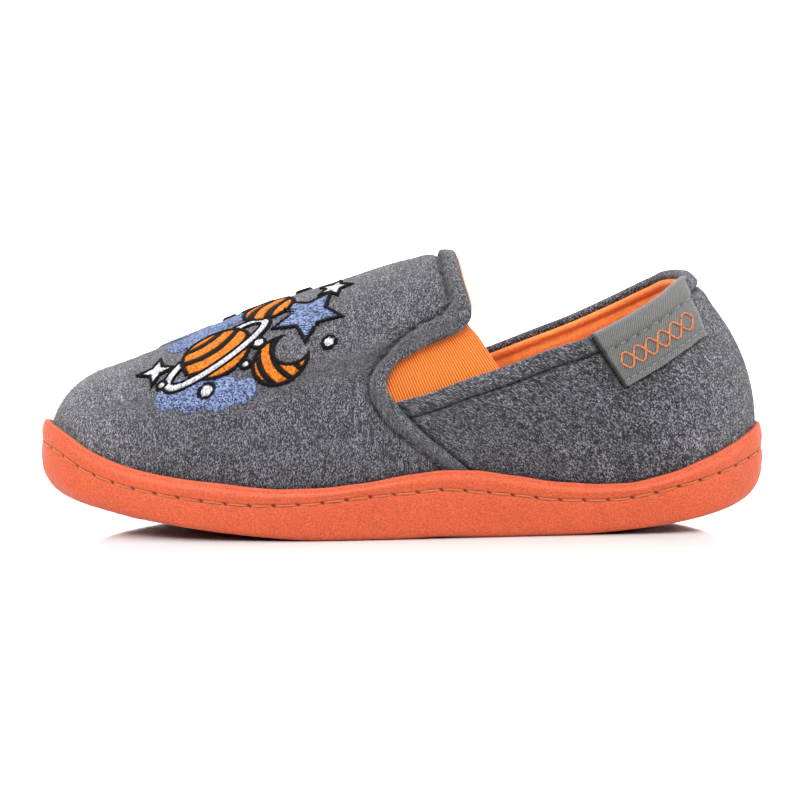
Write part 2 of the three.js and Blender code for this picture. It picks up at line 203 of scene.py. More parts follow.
def column(rows, k, at):
    """Column k of a table at shares of the length, by cubic steps through its rows."""
    a, v = rows[0], rows[k]
    at = np.asarray(at, float)
    i = np.clip(np.searchsorted(a, at, side="right") - 1, 0, len(a) - 2)
    last = len(a) - 1
    after = np.minimum(np.arange(len(a)) + 1, last)
    before = np.maximum(np.arange(len(a)) - 1, 0)
    slope = (v[after] - v[before]) / (a[after] - a[before])
    step = a[i + 1] - a[i]
    t = np.clip((at - a[i]) / step, 0, 1)
    rise = v[i + 1] - v[i]
    bend = t * (1 - t) * ((1 - t) * (slope[i] * step - rise) - t * (slope[i + 1] * step - rise))
    return v[i] + t * rise + bend


def spline(points, steps):
    """Points along a smooth curve through the given ones."""
    p = np.array(points, float)
    last = len(p) - 1
    out = []
    for i in range(last):
        p0, p1, p2, p3 = p[max(i - 1, 0)], p[i], p[i + 1], p[min(i + 2, last)]
        t = np.linspace(0, 1, steps, endpoint=False)[:, None]
        v0, v1 = (p2 - p0) / 2, (p3 - p1) / 2
        out.append((2 * p1 - 2 * p2 + v0 + v1) * t**3 + (3 * p2 - 3 * p1 - 2 * v0 - v1) * t**2 + v0 * t + p1)
    return np.vstack(out + [p[-1:]])


def smooth(low, high, x):
    t = np.clip((x - low) / (high - low), 0, 1)
    return t * t * (3 - 2 * t)


def closing(distance, length):
    left = np.maximum(1 - np.asarray(distance) / length, 0)
    return np.sqrt(np.maximum(1 - left * left, 0))


def tips(at):
    return closing(at * OUTSOLE_LENGTH, TOE_ROUND) * closing((1 - at) * OUTSOLE_LENGTH, HEEL_ROUND)


def half_width(at):
    return BALL_WIDTH / 2 * column(OUTLINE, 1, at)


shares = (1 - np.cos(np.pi * np.arange(37) / 36)) / 2
swing = BALL_WIDTH * column(OUTLINE, 2, shares)
SHIFT = -((swing - half_width(shares) * tips(shares)).min() + (swing + half_width(shares) * tips(shares)).max()) / 2


def middle(at):
    return SHIFT + BALL_WIDTH * column(OUTLINE, 2, at)


def share(x):
    return np.clip(np.asarray(x) / OUTSOLE_LENGTH + 0.5, 0, 1)


def own_share(x):
    return (x - X_TOE) / (X_HEEL - X_TOE)


def spring(at):
    toe = np.maximum(1 - at / TOE_FLAT, 0)
    heel = np.maximum((at - HEEL_FLAT) / (1 - HEEL_FLAT), 0)
    return TOE_SPRING * toe**TOE_CURVE + HEEL_SPRING * heel**HEEL_CURVE


def underside(at):
    t = np.clip((at - WAIST_START) / (WAIST_END - WAIST_START), 0, 1)
    return spring(at) + TREAD_ARCH * np.sin(np.pi * t) ** 2


def base(x):
    return SOLE_THICKNESS + spring(share(x))


def rim(at):
    return spring(at) + INSTEP_HEIGHT * column(RIM, 1, at)


def ridge(at):
    top = INSTEP_HEIGHT * column(SECTIONS, 1, at) + HEEL_HEIGHT * column(SECTIONS, 2, at)
    front = TOE_FRONT + (top - TOE_FRONT) * closing(at * OUTSOLE_LENGTH, TOE_NOSE)
    back = HEEL_BACK + (top - HEEL_BACK) * closing((1 - at) * OUTSOLE_LENGTH, HEEL_NOSE)
    return np.where(at < 0.5, front, back)


def by_angle(at, angle):
    """A point of the upper's surface. angle: 0 at the outer side's base, pi at the inner side's."""
    high = np.maximum(np.sin(angle), 0) ** (2 / column(SECTIONS, 4, at))
    across = np.abs(np.cos(angle)) ** (2 / column(SECTIONS, 5, at))
    x = X_TOE + (X_HEEL - X_TOE) * at
    low = base(x)
    width = (half_width(at) - SIDE_LIP) * tips(at)
    y = middle(at) + BALL_WIDTH * column(SECTIONS, 3, at) * high - np.sign(np.cos(angle)) * across * width
    return np.stack([x + 0 * y, y, low + (ridge(at) - low) * high], -1)


def by_height(x, z, side):
    """The point of the upper's surface at a place in the side view. side: -1 outer, 1 inner."""
    at = own_share(x)
    low = base(x)
    high = np.clip((z - low) / (ridge(at) - low), 0, 1)
    across = np.maximum(1 - high ** column(SECTIONS, 4, at), 0) ** (1 / column(SECTIONS, 5, at))
    width = (half_width(at) - SIDE_LIP) * tips(at)
    y = middle(at) + BALL_WIDTH * column(SECTIONS, 3, at) * high + side * across * width
    return np.stack([x + 0 * y, y, z + 0 * y], -1)


def unit(v):
    return v / np.maximum(np.linalg.norm(v, axis=-1, keepdims=True), 1e-9)


def grid_normals(p, flip=1.0):
    return flip * unit(np.cross(np.gradient(p, axis=0), np.gradient(p, axis=1)))


def side_curve(rows, height, steps=8):
    return spline([((at - 0.5) * OUTSOLE_LENGTH, high * height) for at, high in rows], steps)


def moved(curve, distance):
    """A side-view curve moved to the left of its direction."""
    along = np.gradient(curve, axis=0)
    along /= np.linalg.norm(along, axis=1, keepdims=True)
    return curve + distance * np.stack([-along[:, 1], along[:, 0]], 1)


def line_distance(p, line):
    """Distance from each point to a polyline."""
    flat = p.reshape(-1, 3)
    best = np.full(len(flat), 1e9)
    for a, b in zip(line[:-1], line[1:]):
        ab = b - a
        t = np.clip(((flat - a) @ ab) / max(ab @ ab, 1e-9), 0, 1)
        d = flat - a - t[:, None] * ab
        best = np.minimum(best, np.einsum("ij,ij->i", d, d))
    return np.sqrt(best).reshape(p.shape[:-1])


# Meshes


def mesh_object(name, points, faces, materials, slots=None, uv=None, marks=None, smooth_faces=True):
    """points in mm; faces: one array of quads or triangles; uv: one pair a vertex; marks: named values a vertex."""
    mesh = bpy.data.meshes.new(name)
    faces = np.asarray(faces, np.int32)
    corners = faces.shape[1]
    mesh.vertices.add(len(points))
    mesh.vertices.foreach_set("co", (np.asarray(points, float) * MM).ravel())
    mesh.loops.add(faces.size)
    mesh.loops.foreach_set("vertex_index", faces.ravel())
    mesh.polygons.add(len(faces))
    mesh.polygons.foreach_set("loop_start", np.arange(0, faces.size, corners, dtype=np.int32))
    mesh.polygons.foreach_set("use_smooth", np.full(len(faces), smooth_faces))
    for m in materials:
        mesh.materials.append(m)
    if slots is not None:
        mesh.polygons.foreach_set("material_index", np.asarray(slots, np.int32))
    mesh.update(calc_edges=True)
    if uv is not None:
        layer = mesh.uv_layers.new(name="cloth")
        layer.data.foreach_set("uv", np.asarray(uv, float)[faces.ravel()].ravel())
    for key, values in (marks or {}).items():
        values = np.asarray(values, float)
        if values.ndim == 1:
            mesh.attributes.new(key, "FLOAT", "POINT").data.foreach_set("value", values)
        else:
            data = np.concatenate([values, np.ones((len(values), 1))], 1)
            mesh.attributes.new(key, "FLOAT_COLOR", "POINT").data.foreach_set("color", data.ravel())
    mesh.validate()
    obj = bpy.data.objects.new(name, mesh)
    scene.collection.objects.link(obj)
    return obj


def grid_faces(rows, cols, closed=False, flip=False):
    i, j = np.meshgrid(np.arange(rows - 1), np.arange(cols if closed else cols - 1), indexing="ij")
    k = (j + 1) % cols
    quads = np.stack([i * cols + j, i * cols + k, (i + 1) * cols + k, (i + 1) * cols + j], -1).reshape(-1, 4)
    return quads[:, ::-1] if flip else quads


def place(obj, slot, *nodes, body="root"):
    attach(obj, body)
    if nodes:
        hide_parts(*nodes)
    return obj


def tubes(paths, radius, sides=8):
    """Closed round threads along polylines that all have the same number of points, thin at their ends."""
    paths = np.asarray(paths, float)
    count, n, _ = paths.shape
    along = unit(np.gradient(paths, axis=1))
    ref = np.where(np.abs(along[..., 2:]) < 0.8, [0.0, 0.0, 1.0], [1.0, 0.0, 0.0])
    a = unit(np.cross(along, ref))
    b = np.cross(along, a)
    thick = np.full(n, 1.0)
    thick[0] = thick[-1] = 0.05
    thick[1] = thick[-2] = 0.75
    r = np.asarray(radius, float) * thick[None, :]
    angle = 2 * np.pi * np.arange(sides) / sides
    ring = a[:, :, None] * np.cos(angle)[:, None] + b[:, :, None] * np.sin(angle)[:, None]
    points = paths[:, :, None] + ring * r[..., None, None]
    faces = grid_faces(n, sides, closed=True)
    faces = (faces[None] + (np.arange(count) * n * sides)[:, None, None]).reshape(-1, 4)
    length = np.cumsum(np.linalg.norm(np.diff(paths, axis=1, prepend=paths[:, :1]), axis=-1), axis=1)
    uv = np.stack(np.broadcast_arrays(length[:, :, None], angle[None, None, :] * radius), -1)
    return points.reshape(-1, 3), faces, uv.reshape(-1, 2)


# Materials


class Paint:
    """A material's node tree around one Principled shader."""

    def __init__(self, name, **settings):
        self.material = bpy.data.materials.new(name)
        self.material.use_nodes = True
        self.tree = self.material.node_tree
        self.tree.nodes.clear()
        self.out = self.tree.nodes.new("ShaderNodeOutputMaterial")
        self.shader = self.tree.nodes.new("ShaderNodeBsdfPrincipled")
        self.tree.links.new(self.shader.outputs[0], self.out.inputs[0])
        for key, value in settings.items():
            self.shader.inputs[key.replace("_", " ")].default_value = value

    def add(self, kind, inputs, output=0, **props):
        n = self.tree.nodes.new("ShaderNode" + kind)
        for key, value in props.items():
            setattr(n, key, value)
        for key, value in inputs.items():
            if isinstance(value, bpy.types.NodeSocket):
                self.tree.links.new(value, n.inputs[key])
            else:
                n.inputs[key].default_value = value
        return n.outputs[output]

    def math(self, op, *values, clamp=False):
        return self.add("Math", dict(enumerate(values)), operation=op, use_clamp=clamp)

    def uv(self):
        parts = self.tree.nodes.new("ShaderNodeSeparateXYZ")
        self.tree.links.new(self.add("UVMap", {}, uv_map="cloth"), parts.inputs[0])
        return parts.outputs[0], parts.outputs[1]

    def vector(self, x, y, z=0.0):
        return self.add("CombineXYZ", {0: x, 1: y, 2: z})

    def position(self):
        return self.add("TexCoord", {}, "Object")

    def noise(self, vector, scale, detail=2.0, rough=0.5, output=0):
        return self.add("TexNoise", {"Vector": vector, "Scale": scale, "Detail": detail, "Roughness": rough}, output)

    def mark(self, name, output="Fac"):
        return self.add("Attribute", {}, output, attribute_name=name)

    def ramp(self, value, low, high, to_low=0.0, to_high=1.0):
        return self.add("MapRange", {"Value": value, 1: low, 2: high, 3: to_low, 4: to_high})

    def mix(self, factor, a, b, blend="MIX"):
        n = self.tree.nodes.new("ShaderNodeMix")
        n.data_type = "RGBA"
        n.blend_type = blend
        n.clamp_factor = True
        for key, value in ((0, factor), (6, a), (7, b)):
            if isinstance(value, bpy.types.NodeSocket):
                self.tree.links.new(value, n.inputs[key])
            elif key:
                n.inputs[key].default_value = (*value, 1.0)
            else:
                n.inputs[key].default_value = value
        return n.outputs[2]

    def scaled(self, color, value):
        """A colour times a value."""
        grey = self.add("CombineColor", {0: value, 1: value, 2: value})
        return self.mix(1.0, color, grey, "MULTIPLY")

    def bump(self, height, distance, strength=1.0, normal=None):
        inputs = {"Height": height, "Distance": distance * MM, "Strength": strength}
        if normal is not None:
            inputs["Normal"] = normal
        return self.add("Bump", inputs)

    def finish(self, color=None, normal=None, roughness=None):
        for key, value in (("Base Color", color), ("Normal", normal), ("Roughness", roughness)):
            if value is not None:
                self.tree.links.new(value, self.shader.inputs[key])
        return self.material


def srgb(r, g, b):
    return tuple((c / 255 / 12.92) if c < 10 else ((c / 255 + 0.055) / 1.055) ** 2.4 for c in (r, g, b))


def jersey(name, tone=1.0, size=1.0, patchy=0.18):
    """Grey marl knit: chevron stitches of mixed light and dark yarn with slubby streaks along the wales."""
    p = Paint(name, Roughness=0.95, Sheen_Weight=0.22, Sheen_Roughness=0.45)
    p.shader.inputs["Specular IOR Level"].default_value = 0.15
    u, v = (p.math("DIVIDE", way, size) for way in p.uv())
    wale = p.math("MULTIPLY", u, 1 / 0.6)
    across = p.math("MULTIPLY", p.math("ABSOLUTE", p.math("SUBTRACT", p.math("FRACT", wale), 0.5)), 2.0)
    course = p.math("ADD", p.math("MULTIPLY", v, 1 / 0.42), p.math("MULTIPLY", across, 0.6))
    leg = p.math("SUBTRACT", 1.0, p.math("POWER", p.math("SUBTRACT", p.math("MULTIPLY", across, 2.0), 1.0), 2.0))
    loop = p.math("SINE", p.math("MULTIPLY", p.math("FRACT", course), math.pi))
    knit = p.math("MULTIPLY", p.math("ADD", p.math("MULTIPLY", leg, 0.6), 0.4), loop)
    cell = p.vector(p.math("FLOOR", p.math("MULTIPLY", wale, 2.0)), p.math("FLOOR", course))
    yarn = p.add("TexWhiteNoise", {"Vector": cell}, 0, noise_dimensions="2D")
    place_ = p.vector(u, v)
    fibre = p.noise(p.vector(p.math("MULTIPLY", u, 4.2), p.math("MULTIPLY", v, 2.6)), 1.0, 3.0, 0.8)
    slub = p.noise(p.vector(p.math("MULTIPLY", u, 1.0), p.math("MULTIPLY", v, 0.13)), 1.0, 3.0, 0.6)
    cloud = p.noise(place_, 0.17, 3.0, 0.55)
    light = p.ramp(p.math("POWER", yarn, 2.6), 0.0, 1.0, 0.2, 3.4)
    light = p.math("MULTIPLY", light, p.ramp(fibre, 0.33, 0.67, 0.42, 1.6))
    light = p.math("MULTIPLY", light, p.ramp(slub, 0.3, 0.7, 0.66, 1.34))
    light = p.math("MULTIPLY", light, p.ramp(cloud, 0.3, 0.7, 1 - patchy, 1 + patchy))
    light = p.math("MULTIPLY", light, p.ramp(knit, 0.0, 1.0, 0.3, 1.45))
    light = p.math("MULTIPLY", light, p.mark("shade"))
    cool = p.mix(p.ramp(fibre, 0.35, 0.65), (0.096 * tone, 0.088 * tone, 0.108 * tone), (0.093 * tone, 0.094 * tone, 0.101 * tone))
    height = p.math("ADD", knit, p.math("MULTIPLY", fibre, 1.3))
    height = p.math("ADD", height, p.math("MULTIPLY", slub, 2.2))
    return p.finish(p.scaled(cool, light), p.bump(height, 0.2, 0.9))


def fleece(name, color, pile=1.0):
    p = Paint(name, Roughness=0.95, Sheen_Weight=0.6, Sheen_Roughness=0.5)
    p.shader.inputs["Specular IOR Level"].default_value = 0.1
    where = p.position()
    tuft = p.noise(where, 1500.0, 3.0, 0.7)
    clump = p.noise(where, 350.0, 2.0, 0.5)
    light = p.math("MULTIPLY", p.ramp(tuft, 0.3, 0.7, 0.8, 1.15), p.ramp(clump, 0.3, 0.7, 0.92, 1.06))
    height = p.math("ADD", tuft, p.math("MULTIPLY", clump, 1.5))
    return p.finish(p.scaled(color_socket(p, color), light), p.bump(height, 0.35 * pile, 0.9))


def color_socket(p, color):
    """A colour varied a little over the surface, as a socket."""
    drift = p.noise(p.position(), 60.0, 1.0, 0.5)
    darker = tuple(c * 0.93 for c in color)
    return p.mix(drift, darker, color)


def elastic(name, color):
    """Ribbed elastic: fine ribs along the gore's free edge, crossed by finer threads."""
    p = Paint(name, Roughness=0.75, Sheen_Weight=0.2)
    p.shader.inputs["Specular IOR Level"].default_value = 0.25
    u, v = p.uv()
    rib = p.math("ABSOLUTE", p.math("SINE", p.math("MULTIPLY", p.math("ADD", u, 0.39), math.pi / 0.78)))
    thread = p.math("ABSOLUTE", p.math("SINE", p.math("MULTIPLY", v, math.pi / 0.5)))
    jitter = p.noise(p.vector(p.math("MULTIPLY", u, 1.2), p.math("MULTIPLY", v, 3.0)), 1.0, 2.0, 0.6)
    weave = p.math("ADD", p.math("MULTIPLY", rib, 1.15), p.math("MULTIPLY", thread, 0.3))
    height = p.math("ADD", weave, p.math("MULTIPLY", jitter, 0.5))
    light = p.math("MULTIPLY", p.ramp(weave, 0.0, 1.45, 0.03, 1.48), p.ramp(jitter, 0.3, 0.7, 0.85, 1.12))
    return p.finish(p.scaled(color_socket(p, color), light), p.bump(height, 0.16, 0.9))


def rubber(name, color):
    """Matte moulded rubber with a fine leather-like grain and pits."""
    p = Paint(name, Roughness=0.55)
    p.shader.inputs["Specular IOR Level"].default_value = 0.38
    where = p.position()
    grain = p.add("TexVoronoi", {"Vector": where, "Scale": 1100.0, "Randomness": 1.0}, 0, feature="F1")
    fine = p.noise(where, 2600.0, 2.0, 0.6)
    broad = p.noise(where, 160.0, 3.0, 0.55)
    pit = p.add("TexVoronoi", {"Vector": where, "Scale": 420.0, "Randomness": 1.0}, 0, feature="F1")
    pits = p.ramp(pit, 0.0, 0.16, 1.0, 0.0)
    grain_where = p.add("Mapping", {"Vector": where, "Scale": (0.9, 0.9, 1.2)})
    leather = p.noise(grain_where, 2300.0, 3.0, 0.7)
    height = p.math("ADD", p.math("MULTIPLY", grain, 0.7), p.math("MULTIPLY", fine, 0.5))
    height = p.math("ADD", height, p.math("MULTIPLY", broad, 1.2))
    height = p.math("SUBTRACT", height, p.math("MULTIPLY", pits, 0.5))
    height = p.math("ADD", height, p.math("MULTIPLY", leather, 2.2))
    light = p.math("MULTIPLY", p.ramp(broad, 0.3, 0.7, 0.965, 1.03), p.ramp(leather, 0.3, 0.7, 0.55, 1.4))
    light = p.math("MULTIPLY", light, p.mark("shade"))
    rough = p.ramp(broad, 0.3, 0.7, 0.5, 0.64)
    return p.finish(p.scaled(color_socket(p, color), light), p.bump(height, 0.1, 0.55), rough)


def thread(name, color, gloss=0.5):
    """Twisted sewing thread."""
    p = Paint(name, Roughness=gloss, Sheen_Weight=0.15)
    u, v = p.uv()
    twist = p.math("SINE", p.math("MULTIPLY", p.math("ADD", u, p.math("MULTIPLY", v, 1.3)), math.pi / 0.32))
    light = p.ramp(twist, -1.0, 1.0, 0.75, 1.08)
    return p.finish(p.scaled(color_socket(p, color), light), p.bump(twist, 0.06, 0.8))


def satin(name, color):
    """Woven satin ribbon: fine cross ribs with a soft gloss."""
    p = Paint(name, Roughness=0.5, Sheen_Weight=0.2)
    p.shader.inputs["Specular IOR Level"].default_value = 0.35
    u, v = p.uv()
    diagonal = p.math("SINE", p.math("MULTIPLY", p.math("ADD", u, p.math("MULTIPLY", v, 0.9)), 2 * math.pi / 0.75))
    fine = p.math("SINE", p.math("MULTIPLY", v, 2 * math.pi / 0.36))
    jitter = p.noise(p.vector(p.math("MULTIPLY", u, 1.5), p.math("MULTIPLY", v, 2.5)), 1.0, 3.0, 0.6)
    weave = p.math("ADD", diagonal, p.math("MULTIPLY", fine, 0.4))
    light = p.math("MULTIPLY", p.ramp(weave, -1.4, 1.4, 0.35, 1.5), p.ramp(jitter, 0.3, 0.7, 0.7, 1.25))
    light = p.math("MULTIPLY", light, p.mark("shade"))
    height = p.math("ADD", weave, p.math("MULTIPLY", jitter, 2.0))
    return p.finish(p.scaled(color_socket(p, color), light), p.bump(height, 0.06, 0.8))


def embroidery(name):
    """Satin and fill stitches in the colour each vertex carries. The mark 'row' runs across the stitches."""
    p = Paint(name, Roughness=0.65)
    p.shader.inputs["Specular IOR Level"].default_value = 0.1
    row, run = p.mark("row"), p.mark("run")
    line = p.math("ABSOLUTE", p.math("SINE", p.math("MULTIPLY", row, math.pi / 0.42)))
    broken = p.noise(p.vector(p.math("MULTIPLY", row, 2.2), p.math("MULTIPLY", run, 0.6)), 1.0, 3.0, 0.7)
    cell = p.vector(p.math("FLOOR", p.math("MULTIPLY", row, 1 / 0.32)), p.math("FLOOR", p.math("MULTIPLY", run, 1 / 0.5)))
    speck = p.add("TexWhiteNoise", {"Vector": cell}, 0, noise_dimensions="2D")
    # Each stitch cell is made randomly lighter or darker; on the blue thread the strong speckle is painted glints of
    # its glitter
    depth = p.ramp(p.mark("glitter"), 0.0, 1.0, 0.15, 0.95)
    sparkle = p.math("ADD", 1.0, p.math("MULTIPLY", depth, p.ramp(speck, 0.0, 1.0, -1.0, 1.15)))
    light = p.math("MULTIPLY", p.ramp(line, 0.0, 1.0, 0.6, 1.12), p.ramp(broken, 0.3, 0.7, 0.7, 1.25))
    light = p.math("MULTIPLY", light, sparkle)
    height = p.math("ADD", line, p.math("MULTIPLY", broken, 1.4))
    return p.finish(p.scaled(p.mark("tint", "Color"), light), p.bump(height, 0.18, 0.9))


def plain(name, color, rough):
    p = Paint(name, Roughness=rough)
    mottle = p.noise(p.position(), 900.0, 2.0, 0.5)
    return p.finish(p.scaled(color_socket(p, color), p.ramp(mottle, 0.3, 0.7, 0.9, 1.1)), p.bump(mottle, 0.05, 0.5))


GREY = jersey("grey_marl_jersey", size=0.85)
# The quarter's jersey is a darker copy of the same knit: painted shade on that side of the slipper
SHADED_GREY = jersey("grey_marl_jersey_back", 0.82, size=1.05, patchy=0.24)
ORANGE_FLEECE = fleece("orange_fleece", (0.98, 0.3, 0.075))
ORANGE_ELASTIC = elastic("orange_elastic", (0.78, 0.17, 0.018))
CORAL = rubber("coral_rubber", (0.54, 0.08, 0.0235))
ORANGE_THREAD = thread("orange_thread", (0.74, 0.19, 0.03))
PALE_THREAD = thread("pale_grey_thread", (0.3, 0.3, 0.3))
RIBBON = satin("grey_ribbon", (0.118, 0.117, 0.112))
STITCHED = embroidery("stitched_threads")
FUZZ = plain("grey_lint", (0.3, 0.3, 0.32), 0.9)

# Edges in the side view, in mm
ROLL = 1.0  # the rolled edges stand this far past the curves that the meshes follow
vamp_edge = side_curve(VAMP_EDGE, INSTEP_HEIGHT)
vamp_in = moved(vamp_edge, -ROLL)
hem_line = side_curve(VAMP_HEM_LINE, INSTEP_HEIGHT)
gore_edge = side_curve(GORE_EDGE, INSTEP_HEIGHT)
corner = ((CORNER[0] - 0.5) * OUTSOLE_LENGTH, CORNER[1] * INSTEP_HEIGHT)
collar_points = [((at - 0.5) * OUTSOLE_LENGTH, high * HEEL_HEIGHT) for at, high in COLLAR]
collar_edge = spline([(corner[0] - 8, corner[1] - 2.1), corner] + collar_points, 8)
collar_in = moved(collar_edge, -ROLL)


def x_at(curve, z):
    """x of a side-view curve that falls all the way, at a height."""
    order = np.argsort(curve[:, 1])
    return np.interp(z, curve[order, 1], curve[order, 0])


def z_at(curve, x):
    order = np.argsort(curve[:, 0])
    return np.interp(x, curve[order, 0], curve[order, 1])


def solve_row(curve, angle_of):
    """The own share at which each column's ring point lies on a side-view curve."""
    low, high = np.full(len(COLS), 0.3), np.full(len(COLS), 0.72)
    for _ in range(40):
        at = (low + high) / 2
        p = by_angle(at, angle_of(at))
        past = p[:, 0] > x_at(curve, p[:, 2])
        high, low = np.where(past, at, high), np.where(past, low, at)
    return (low + high) / 2


def rolled(edge, normal, out, high, low, reach, steps):
    """Rows of a folded edge, from the outer face round to the inner one."""
    rows = []
    for k in range(1, steps + 1):
        turn = math.pi * k / steps
        lift = (high + low) / 2 + (high - low) / 2 * math.cos(turn)
        rows.append(edge + normal * lift[:, None] + out * (reach * math.sin(turn))[:, None])
    return rows


def outward(edge, normal, inside):
    """Unit vectors in the surface that point out of the piece across its edge."""
    out = unit(np.cross(unit(np.gradient(edge, axis=0)), normal))
    return out * np.sign(np.einsum("ij,ij->i", out, edge - inside))[:, None]


def wave(x, seed, longest, shortest, count=9):
    """A smooth irregular ripple of about unit height."""
    draw = np.random.default_rng(seed)
    total = 0.0
    for _ in range(count):
        length = draw.uniform(shortest, longest)
        total = total + np.sin(2 * np.pi * x / length + draw.uniform(0, 6.28))
    return total / math.sqrt(count / 2) / 1.5


# Vamp
ROWS_V, COLS_V = 270, 262
COLS = np.linspace(0, 1, COLS_V)


def vamp_angle(at):
    x = X_TOE + (X_HEEL - X_TOE) * at
    low = base(x)
    high = np.clip((rim(share(x)) - 4 - low) / (ridge(at) - low), 0.0, 0.95)
    start = np.arcsin(high ** (column(SECTIONS, 4, at) / 2))
    return start + (np.pi - 2 * start) * COLS


last = solve_row(vamp_in, vamp_angle)
REST = 0.8 * np.pi
steps_in = (1 - np.cos(REST * np.linspace(0, 1, ROWS_V))) / (1 - math.cos(REST))
at = steps_in[:, None] * last[None, :]
vamp = by_angle(at, vamp_angle(at))
normal = grid_normals(vamp)
normal *= np.sign(normal[150, COLS_V // 2, 2])
normal[0] = normal[1]
edge_line = by_angle(last, vamp_angle(last))
hem_share = solve_row(hem_line, vamp_angle)
hem_points = by_angle(hem_share, vamp_angle(hem_share))
to_hem = line_distance(vamp, hem_points)
to_edge = line_distance(vamp, edge_line)
over = vamp[..., 0] > x_at(hem_line, vamp[..., 2])
signed = np.where(over, to_hem, -to_hem)
along_v = np.cumsum(np.linalg.norm(np.diff(hem_points, axis=0, prepend=hem_points[:1]), axis=1))[None, :]
pucker = wave(along_v, 3, 7.0, 2.6)
nips = wave(along_v, 61, 3.2, 1.1) * (0.4 + 0.6 * smooth(40, 50, hem_points[:, 2]))[None, :]
to_hem = np.abs(to_hem + np.where(over, 0.3, -0.3) * nips)
height = HEM_RISE * smooth(-0.5, 1.0, signed)
height = height + 0.35 * np.where(over, np.sin(np.pi * np.clip(to_edge / (to_edge + to_hem + 1e-6), 0, 1)), 0)
height = height - (1.0 + 0.35 * pucker) * np.exp(-((to_hem / 0.7) ** 2))
height = height + 0.4 * np.where(over, 0, np.exp(-(((to_hem - 3.2) / 2.4) ** 2)))
height = height + (0.1 * pucker + 0.16 * nips) * np.exp(-((to_hem / 3.0) ** 2))
above = vamp[..., 2] - rim(share(vamp[..., 0]))
girth = np.cumsum(np.linalg.norm(np.diff(vamp, axis=0, prepend=vamp[:1]), axis=-1), axis=0)
height = height + 0.16 * wave(girth + 0 * COLS[None, :], 5, 11, 4) * np.exp(-np.maximum(above, 0) / 7.0)
vamp_out = vamp + normal * height[..., None]

n_edge = normal[-1]
out_edge = outward(edge_line, n_edge, vamp[-6])
z_edge = edge_line[:, 2]
low_side = -0.1 - (WALL - 0.1) * smooth(35.5, 40.0, z_edge)
reach = ROLL * (0.55 + 0.45 * smooth(35.5, 40.0, z_edge))
rows = rolled(edge_line, n_edge, out_edge, height[-1], low_side, reach, 9)
for m in (1.2, 2.6, 4.2):
    rows.append(edge_line + n_edge * low_side[:, None] - out_edge * m)
vamp_all = np.vstack([vamp_out, np.stack(rows)])

# Cloth coordinates: along the ridge's length, and round from the ridge
top_line = vamp_out[:, COLS_V // 2]
along_top = np.cumsum(np.linalg.norm(np.diff(top_line, axis=0, prepend=top_line[:1]), axis=-1))
length_of_x = np.interp(vamp_out[..., 0], top_line[:, 0], along_top)
length_of_x = length_of_x + np.maximum(vamp_out[..., 0] - top_line[-1, 0], 0)
beyond = np.linalg.norm(np.diff(vamp_all[ROWS_V - 1:], axis=0), axis=-1).cumsum(axis=0)
length_of_x = np.vstack([length_of_x, length_of_x[-1:] + beyond])
round_way = np.cumsum(np.linalg.norm(np.diff(vamp_all, axis=1, prepend=vamp_all[:, :1]), axis=-1), axis=1)
round_way = round_way - round_way[:, COLS_V // 2][:, None]
cloth_v = np.stack([length_of_x, round_way], -1)
# Painted shade on the vamp: the jersey is darkened in the hem's groove and just above the sole's rim
shade_v = 1 - np.clip(0.65 + 0.3 * nips, 0.3, 0.92) * np.exp(-((to_hem / 0.6) ** 2)) - 0.5 * np.exp(-np.maximum(above, 0) / 0.7)
shade_v = shade_v * (1 + 0.46 * smooth(-68, -92, vamp[..., 0]))  # painted highlight: the jersey is made paler over the toe
shade_v = np.vstack([shade_v, np.ones((len(rows), COLS_V))])
fold_faces = grid_faces(len(vamp_all), COLS_V, flip=False)
vamp_piece = mesh_object(
    "vamp", vamp_all.reshape(-1, 3), fold_faces, [GREY], uv=cloth_v.reshape(-1, 2), marks={"shade": shade_v.ravel()}
)
place(vamp_piece, "jersey", "upper")

# Vamp's lining, with a fold that peeps past the tab's end
COLS_L = slice(None, None, 3)
rows_l = np.r_[np.arange(0, ROWS_V - 6, 6), ROWS_V - 3]
inner = (vamp - normal * (WALL + 0.15))[rows_l][:, COLS_L]
edge_l, n_l, out_l = edge_line[COLS_L], n_edge[COLS_L], out_edge[COLS_L]
peep = -2.0 + 2.9 * smooth(56.0, 64.0, edge_l[:, 2])
lip_top = -1.95 + 1.2 * smooth(35.5, 42.0, edge_l[:, 2])
lip = rolled(edge_l, n_l, out_l, lip_top, np.full(len(edge_l), -WALL - 0.2), ROLL * 0.6 + peep, 8)
lining_v = np.vstack([inner, np.stack(lip[::-1]), (edge_l - n_l * 0.75 - out_l * 2)[None]])
# Quarter
ROWS_Q, COLS_Q = 120, 520
S = np.linspace(-1, 1, COLS_Q)
samples = np.linspace(0.86, 1.0, 800)
ridge_down = ridge(samples)


def back_share(z):
    return np.where(z <= HEEL_BACK, 1.0, np.interp(z, ridge_down[::-1], samples[::-1]))


def front_x(z):
    return x_at(vamp_edge, np.minimum(z, corner[1] - 0.6)) - 5.0


def quarter_points(s, h, top_curve, bottom_of):
    """Points of the quarter: s from the outer front round the heel to the inner front, h from the bottom to the top."""
    z = np.full(np.broadcast(s, h).shape, 40.0)
    turn = 1 - np.cos(np.pi * np.abs(s) / 2)
    for _ in range(40):
        back = back_share(z)
        front = own_share(front_x(z))
        at_ = back - (back - front) * turn
        x = X_TOE + (X_HEEL - X_TOE) * at_
        low = bottom_of(x)
        tug = np.where(s > 0, 0.7 * smooth(15, 45, x) * smooth(81, 73, x), -1.0 * smooth(38, 52, x) * smooth(80, 71, x))
        tug = tug + 0.6 * np.exp(-(((x - 80) / 7) ** 2))
        z = 0.5 * z + 0.5 * (low + (z_at(top_curve, x) + tug - low) * h)
    return by_height(x, z, np.sign(s) + 0.0)


